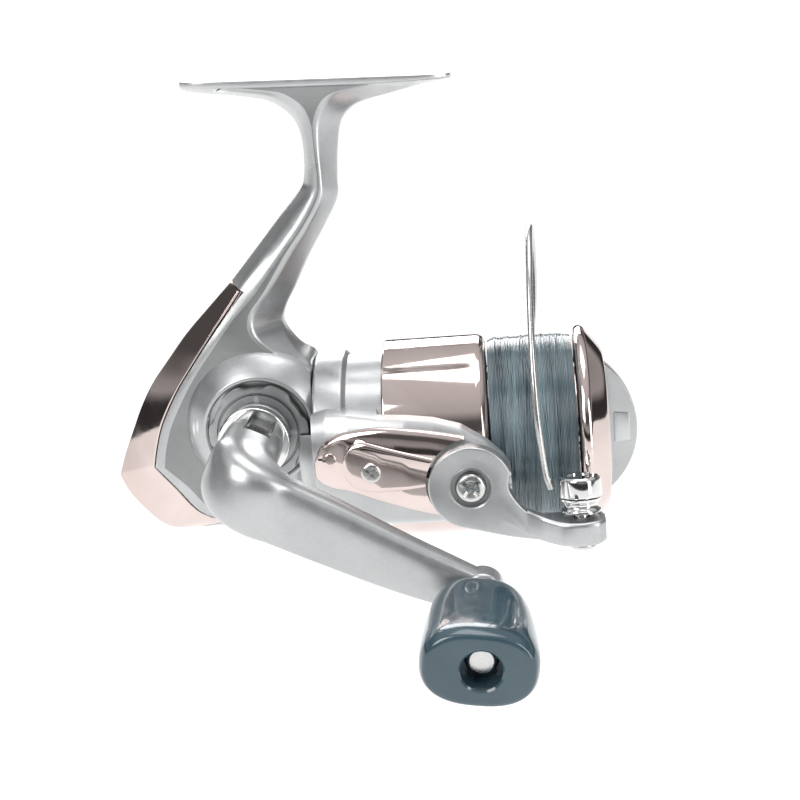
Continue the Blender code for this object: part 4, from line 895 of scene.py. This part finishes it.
def build_bail():
    pivot = BAIL_PIVOT
    disc = arc((0, 0), BAIL_DISC_R, 20, 262, 72)
    lower = spline([disc[-1], (4.0, -10.4), (9.0, -11.6), (14.0, -12.4)], 6)[1:]
    upper = spline([(14.0, -7.4), (11.5, -6.0), (9.6, -3.8), (8.0, -0.6), disc[0]], 6)[:-1]
    outline = [(pivot.x + p[0], pivot.z + p[1]) for p in disc + lower + upper]
    near = prism("near_bail_lever", outline, -31.2, -27.7, SILVER)
    bevel(near, 0.55, 4, 40.0)
    # sections of the tail that carries the roller: x, middle y, half depth, top z, bottom z
    tail = spline([(58.0, -29.6, 1.6, -8.2, -14.1), (60.5, -29.8, 1.9, -9.4, -15.0),
                   (63.0, -29.9, 3.0, -10.1, -15.5),
                   (65.5, -30.0, 4.2, -10.4, -15.7), (69.3, -30.0, 4.7, -10.4, -15.8),
                   (72.3, -30.0, 4.0, -10.4, -15.7), (73.5, -30.0, 3.1, -10.5, -15.5),
                   (74.2, -30.0, 2.2, -10.7, -15.3)], 6)
    rings = []
    for x, middle, half, top, bottom in tail:
        height, level = (top - bottom) / 2, (top + bottom) / 2
        corners = [(middle - half, level - height), (middle + half, level - height),
                   (middle + half, level + height), (middle - half, level + height)]
        rings.append([vec(x, p[0], p[1]) for p in fillet(corners, 1.1, 5, closed=True)])
    cut(near, piece("tail", skin(rings), SILVER), "UNION")
    relief = [(20.0, 9.2), (20.0, 17.0), (28.9, 17.0), (28.9, 9.2)]
    cut(near, lathe("relief", relief, SILVER, -Y_AXIS, pivot, 96))
    drill(near, pivot, -Y_AXIS, 2.1, 20, 40)
    drill(near, pivot, -Y_AXIS, 4.3, 29.6, 40, 72, (31.2, 0.3))
    drill(near, ROLLER_TOP, ROLLER_AXIS, 1.9, 7.0, 17.0)
    place(near, "bail", "silver_paint", "near_bail_arm", smooth=35.0)

    lever = arc((0, 0), 6.6, 95, 335, 60) + arc((14.6, 10.2), 2.4, -60, 130, 24)
    outline = [(pivot.x + a, pivot.z + b) for a, b in lever]
    far = prism("far_bail_lever", outline, 27.7, 30.3, SILVER)
    bevel(far, 0.45, 4, 40.0)
    drill(far, pivot, Y_AXIS, 2.1, 20, 40)
    place(far, "bail", "silver_paint", "far_bail_arm", smooth=35.0)

    screw("near_pivot_pin", pivot, -Y_AXIS, 24.4, 29.9, 31.8, 1.8, 3.4, "bail", "near_pivot_screw")
    screw("far_pivot_pin", pivot, Y_AXIS, 24.4, 30.6, 32.5, 1.8, 3.4, "bail", "far_pivot_screw")

    wire = spline([(63.3, -28.6, -4.4), (62.3, -28.6, -1.0), (61.7, -28.2, 4.0), (61.2, -27.2, 11.0),
                   (61.0, -24.6, 19.6), (61.1, -19.6, 29.0), (61.6, -11.4, 40.0), (62.2, 0.0, 46.0),
                   (62.8, 11.4, 42.0), (63.0, 20.6, 32.6), (62.6, 26.2, 22.6), (61.6, 28.6, 14.0),
                   (61.1, 29.0, 10.6)], 14)
    place(piece("bail_loop", skin(tube(wire, WIRE_R, 20)), STEEL), "bail", "steel", "bail_wire")

    profile = [(0.0, 0), (0.0, 3.9), (0.5, 4.4), (4.3, 4.6), (4.3, 0)]
    cap = lathe("roller_cover", profile, CHROME, ROLLER_AXIS, ROLLER_TOP, 96, 0.3)
    drill(cap, ROLLER_TOP, ROLLER_AXIS, 1.9, 2.3, 6.0)
    drill(cap, ROLLER_TOP, ROLLER_AXIS, 2.6, -1.0, 0.3)
    place(cap, "bail", "chrome", "roller_cap")
    waist = [(5.1 + 2.0 * i / 12, 4.2 - 0.75 * math.sin(math.pi * i / 12) ** 0.8) for i in range(13)]
    groove = [(4.6, 1.9), (4.6, 4.3)] + waist + [(7.6, 4.3), (7.6, 1.9)]
    place(lathe("guide_roller", groove, CHROME, ROLLER_AXIS, ROLLER_TOP, 96, 0.12), "line_roller", "chrome",
          "line_roller")
    screw("roller_pin", ROLLER_TOP, ROLLER_AXIS, 2.6, 14.6, 15.7, 1.5, 2.9, "bail", "roller_screw")


# --- spool, line and drag knob --------------------------------------------------------------
def build_spool():
    lip = spline([(70.4, 21.9), (70.7, 22.6), (71.6, 23.0), (72.6, 22.8), (73.4, 22.0), (76.4, 18.2),
                  (76.8, 17.2), (76.6, 16.5), (76.2, 16.2)], 4)
    skirt = [(27.9, 21.3), (27.9, 22.2), (28.3, 22.5), (48.6, 22.5), (49.5, 22.35), (50.3, 21.9), (50.8, 21.0),
             (SPOOL_STEP, ARBOR_R), (LIP_REAR, ARBOR_R)]
    rest = [(72.0, 16.1), (72.0, 11.6), (60.5, 11.6), (60.5, 2.4), (48.0, 2.4), (48.0, 6.6), (58.4, 6.6),
            (58.4, 13.4), (49.2, 13.4), (49.2, 21.3)]
    profile = fillet(skirt, 0.12, 2) + lip + fillet(rest, 0.2, 2)
    made = lathe("spool_shell", profile, BRONZE, steps=192)
    place(made, "spool", "bronze_chrome", "spool", smooth=40.0)


def build_line():
    """Wound monofilament: packed turns, uneven like a real lay, under loose crossing turns."""
    random.seed(7)
    first, last, turns, steps = SPOOL_STEP + GAP, LIP_REAR - GAP, 58, 180
    pitch = (last - first) / turns
    across = 4                       # profile points on each turn
    rings = []
    for k in range(turns * across + 1):
        x = first + (last - first) * k / (turns * across)
        bulge = math.sqrt(max(0.0, 1 - (2 * ((k / across) % 1.0) - 1) ** 2)) * pitch * 0.42
        crown = 0.45 * (1 - abs(2 * (x - first) / (last - first) - 1) ** 4)
        ring = []
        for i in range(steps):
            angle = 2 * math.pi * i / steps
            sway = 0.16 * noise.noise(vec(x * 0.9, math.cos(angle) * 1.4, math.sin(angle) * 1.4))
            radius = LINE_R - 0.95 + crown + bulge + sway
            ring.append(vec(x, radius * math.cos(angle), radius * math.sin(angle)))
        rings.append(ring)
    turned = [2 * math.pi * i / steps for i in range(steps)]
    inner = ARBOR_R + GAP
    rings += [[vec(x, inner * math.cos(a), inner * math.sin(a)) for a in turned] for x in (last, first)]
    bm = skin(rings, closed_loop=True)
    strand_r = pitch * 0.48
    for _ in range(34):
        start, sweep = random.uniform(first + 1.6, last - 1.6), random.uniform(-2.6, 2.6)
        phase, level = random.uniform(0, 2 * math.pi), LINE_R - random.uniform(0.30, 0.52)
        path = []
        for i in range(120):
            angle = 2 * math.pi * i / 120
            x = start + sweep * math.sin(angle + phase) + 0.25 * math.sin(2 * angle + 2 * phase)
            x = min(max(x, first + 0.5), last - 0.5)
            edge = 1 - abs(2 * (x - first) / (last - first) - 1) ** 4
            radius = level - 0.25 * (1 - edge)
            path.append(vec(x, radius * math.cos(angle), radius * math.sin(angle)))
        other = skin(tube(path, strand_r, 7, True), closed_loop=True)
        strand = bpy.data.meshes.new("strand")
        other.to_mesh(strand)
        other.free()
        bm.from_mesh(strand)
        bpy.data.meshes.remove(strand)
    place(piece("line_winding", bm, NYLON), "spool", "nylon_line", "line", smooth=60.0)


def build_drag_knob():
    """Drag knob: domed disc, half-round fin with a raised panel on each face."""
    profile = [(69.0, 0), (69.0, 8.6), (72.4, 8.6), (72.4, 15.2), (73.0, 15.7), (75.4, 15.6), (76.9, 14.8),
               (77.6, 12.0), (77.9, 7.0), (78.0, 0)]
    knob = lathe("drag_dial", profile, SILVER, steps=144, round_by=0.5)
    reach = math.degrees(math.acos((76.6 - FIN_X) / FIN_R))
    fin = prism("fin", arc((FIN_X, 0), FIN_R, -reach, reach, 60), -2.3, 2.3, SILVER)
    bevel(fin, 0.5, 4, 40.0)
    cut(knob, fin, "UNION")
    for side in (-1, 1):
        low, high = sorted((side * 2.1, side * 2.55))
        outline = fillet([(78.6, -3.6), (82.2, -3.2), (82.2, 3.2), (78.6, 3.6)], 0.5, 3, True)
        panel = prism("panel", outline, low, high, SILVER)
        cut(knob, bevel(panel, 0.15, 2, 40.0), "UNION")
    drill(knob, Vector(), X_AXIS, 4.9, 68, 76.0)
    for i in range(36):
        angle = 2 * math.pi * i / 36
        spot = vec(0, 15.95 * math.cos(angle), 15.95 * math.sin(angle))
        cut(knob, lathe("cutter", [(72.8, 0), (72.8, 0.42), (75.6, 0.42), (76.2, 0)], SILVER, X_AXIS, spot, 8))
    place(knob, "drag_knob", "silver_paint", "drag_knob", smooth=38.0)


# --- camera, stage and light ------------------------------------------------------------------
def to_part(point):
    return (SHAFT_TO_PART @ point) * MM


def aim(made, position, target, roll=0.0):
    """Put an object at a point and turn its -Z to the target, both in the part's frame."""
    back = (position - target).normalized()
    right = Z_AXIS.cross(back).normalized()
    up = back.cross(right)
    turned_right = right * math.cos(roll) + up * math.sin(roll)
    turned_up = up * math.cos(roll) - right * math.sin(roll)
    matrix = Matrix((turned_right, turned_up, back)).transposed().to_4x4()
    matrix.translation = position
    made.matrix_world = matrix


def build_camera():
    data = bpy.data.cameras.new("camera")
    data.lens, data.sensor_width = 67.18, 36.0
    data.clip_start, data.clip_end = 0.01, 100.0
    camera = bpy.data.objects.new("camera", data)
    bpy.context.scene.collection.objects.link(camera)
    azimuth, elevation, roll = math.radians(4.76), math.radians(16.07), math.radians(-4.9)
    level = math.cos(elevation)
    back = vec(math.sin(azimuth) * level, -math.cos(azimuth) * level, math.sin(elevation))
    right = Z_AXIS.cross(back).normalized()
    up = back.cross(right)
    axes = (right * math.cos(roll) + up * math.sin(roll), up * math.cos(roll) - right * math.sin(roll), back)
    turn = SHAFT_TO_PART.to_3x3()
    matrix = Matrix([turn @ axis for axis in axes]).transposed().to_4x4()
    matrix.translation = to_part(vec(30.65, 0, 8.75) + back * 340.57)
    camera.matrix_world = matrix
    bpy.context.scene.camera = camera


def area_light(name, position, target, width, height, power, colour=(1, 1, 1)):
    data = bpy.data.lights.new(name, "AREA")
    data.shape, data.size, data.size_y = "RECTANGLE", width, height
    data.energy, data.color = power, colour
    lamp = bpy.data.objects.new(name, data)
    bpy.context.scene.collection.objects.link(lamp)
    aim(lamp, Vector(position), Vector(target))


def build_stage():
    bpy.context.scene.view_settings.view_transform = "Standard"
    floor_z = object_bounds()[0][2] - FLOOR_DROP
    bm = bmesh.new()
    bmesh.ops.create_grid(bm, x_segments=8, y_segments=8, size=30.0)
    mesh = bpy.data.meshes.new("floor")
    bm.to_mesh(mesh)
    bm.free()
    floor = bpy.data.objects.new("floor", mesh)
    floor.location = (0, 0, floor_z)
    bpy.context.scene.collection.objects.link(floor)
    shader = Shader("floor_paint", 0.0, Emission_Strength=0.86, Emission_Color=(1, 1, 1, 1),
                    Specular_IOR_Level=0.1)
    shader.colour(shader.ramp(shader.noise(2.0), (0.32, 0.32, 0.32), (0.34, 0.34, 0.34)))
    shader.bsdf.inputs["Roughness"].default_value = 0.9
    mesh.materials.append(shader.material)

    world = bpy.data.worlds.new("studio")
    world.use_nodes = True
    bpy.context.scene.world = world
    tree = world.node_tree
    sky = tree.nodes["Background"]
    coords = tree.nodes.new("ShaderNodeTexCoord").outputs["Generated"]
    split = tree.nodes.new("ShaderNodeSeparateXYZ")
    tree.links.new(coords, split.inputs[0])
    ramp = tree.nodes.new("ShaderNodeValToRGB")
    stops = ((0.0, 0.04), (0.12, 0.04), (0.18, 0.42), (0.26, 0.36), (0.33, 0.10), (0.50, 0.12),
             (0.66, 0.62), (1.0, 0.80))
    elements = ramp.color_ramp.elements
    while len(elements) < len(stops):
        elements.new(0.5)
    for element, (position, value) in zip(elements, stops):
        element.position, element.color = position, (value, value, value * 1.01, 1)
    tree.links.new(split.outputs["Z"], ramp.inputs["Fac"])
    tree.links.new(ramp.outputs["Color"], sky.inputs["Color"])
    sky.inputs["Strength"].default_value = 0.9
    plain = tree.nodes.new("ShaderNodeBackground")
    plain.inputs["Color"].default_value = (1, 1, 1, 1)
    swap = tree.nodes.new("ShaderNodeMixShader")
    tree.links.new(tree.nodes.new("ShaderNodeLightPath").outputs["Is Camera Ray"], swap.inputs["Fac"])
    tree.links.new(sky.outputs["Background"], swap.inputs[1])
    tree.links.new(plain.outputs["Background"], swap.inputs[2])
    tree.links.new(swap.outputs["Shader"], tree.nodes["World Output"].inputs["Surface"])

    area_light("key", (-0.34, -0.42, 0.30), (0, 0, -0.06), 0.30, 0.42, 2.2)
    area_light("fill", (0.50, -0.40, 0.10), (0.01, 0, -0.07), 0.16, 0.50, 1.3)
    area_light("top", (0.05, 0.05, 0.60), (0, 0, -0.06), 0.50, 0.40, 1.8)
    area_light("rim", (-0.10, 0.60, 0.20), (0, 0, -0.06), 0.50, 0.30, 2.4)


def main():
    for name, made in frame["nodes"].items():
        for row in frame["record"]["subparts"]:
            if row["node"] == name:
                made.data.materials.clear()
                made.data.materials.append(BY_SLOT[row["material_slot"]])
    build_camera()
    build_frame()
    build_lever()
    build_crank()
    build_handle()
    build_knob()
    build_rotor()
    build_bail()
    build_spool()
    build_line()
    build_drag_knob()
    build_stage()


main()
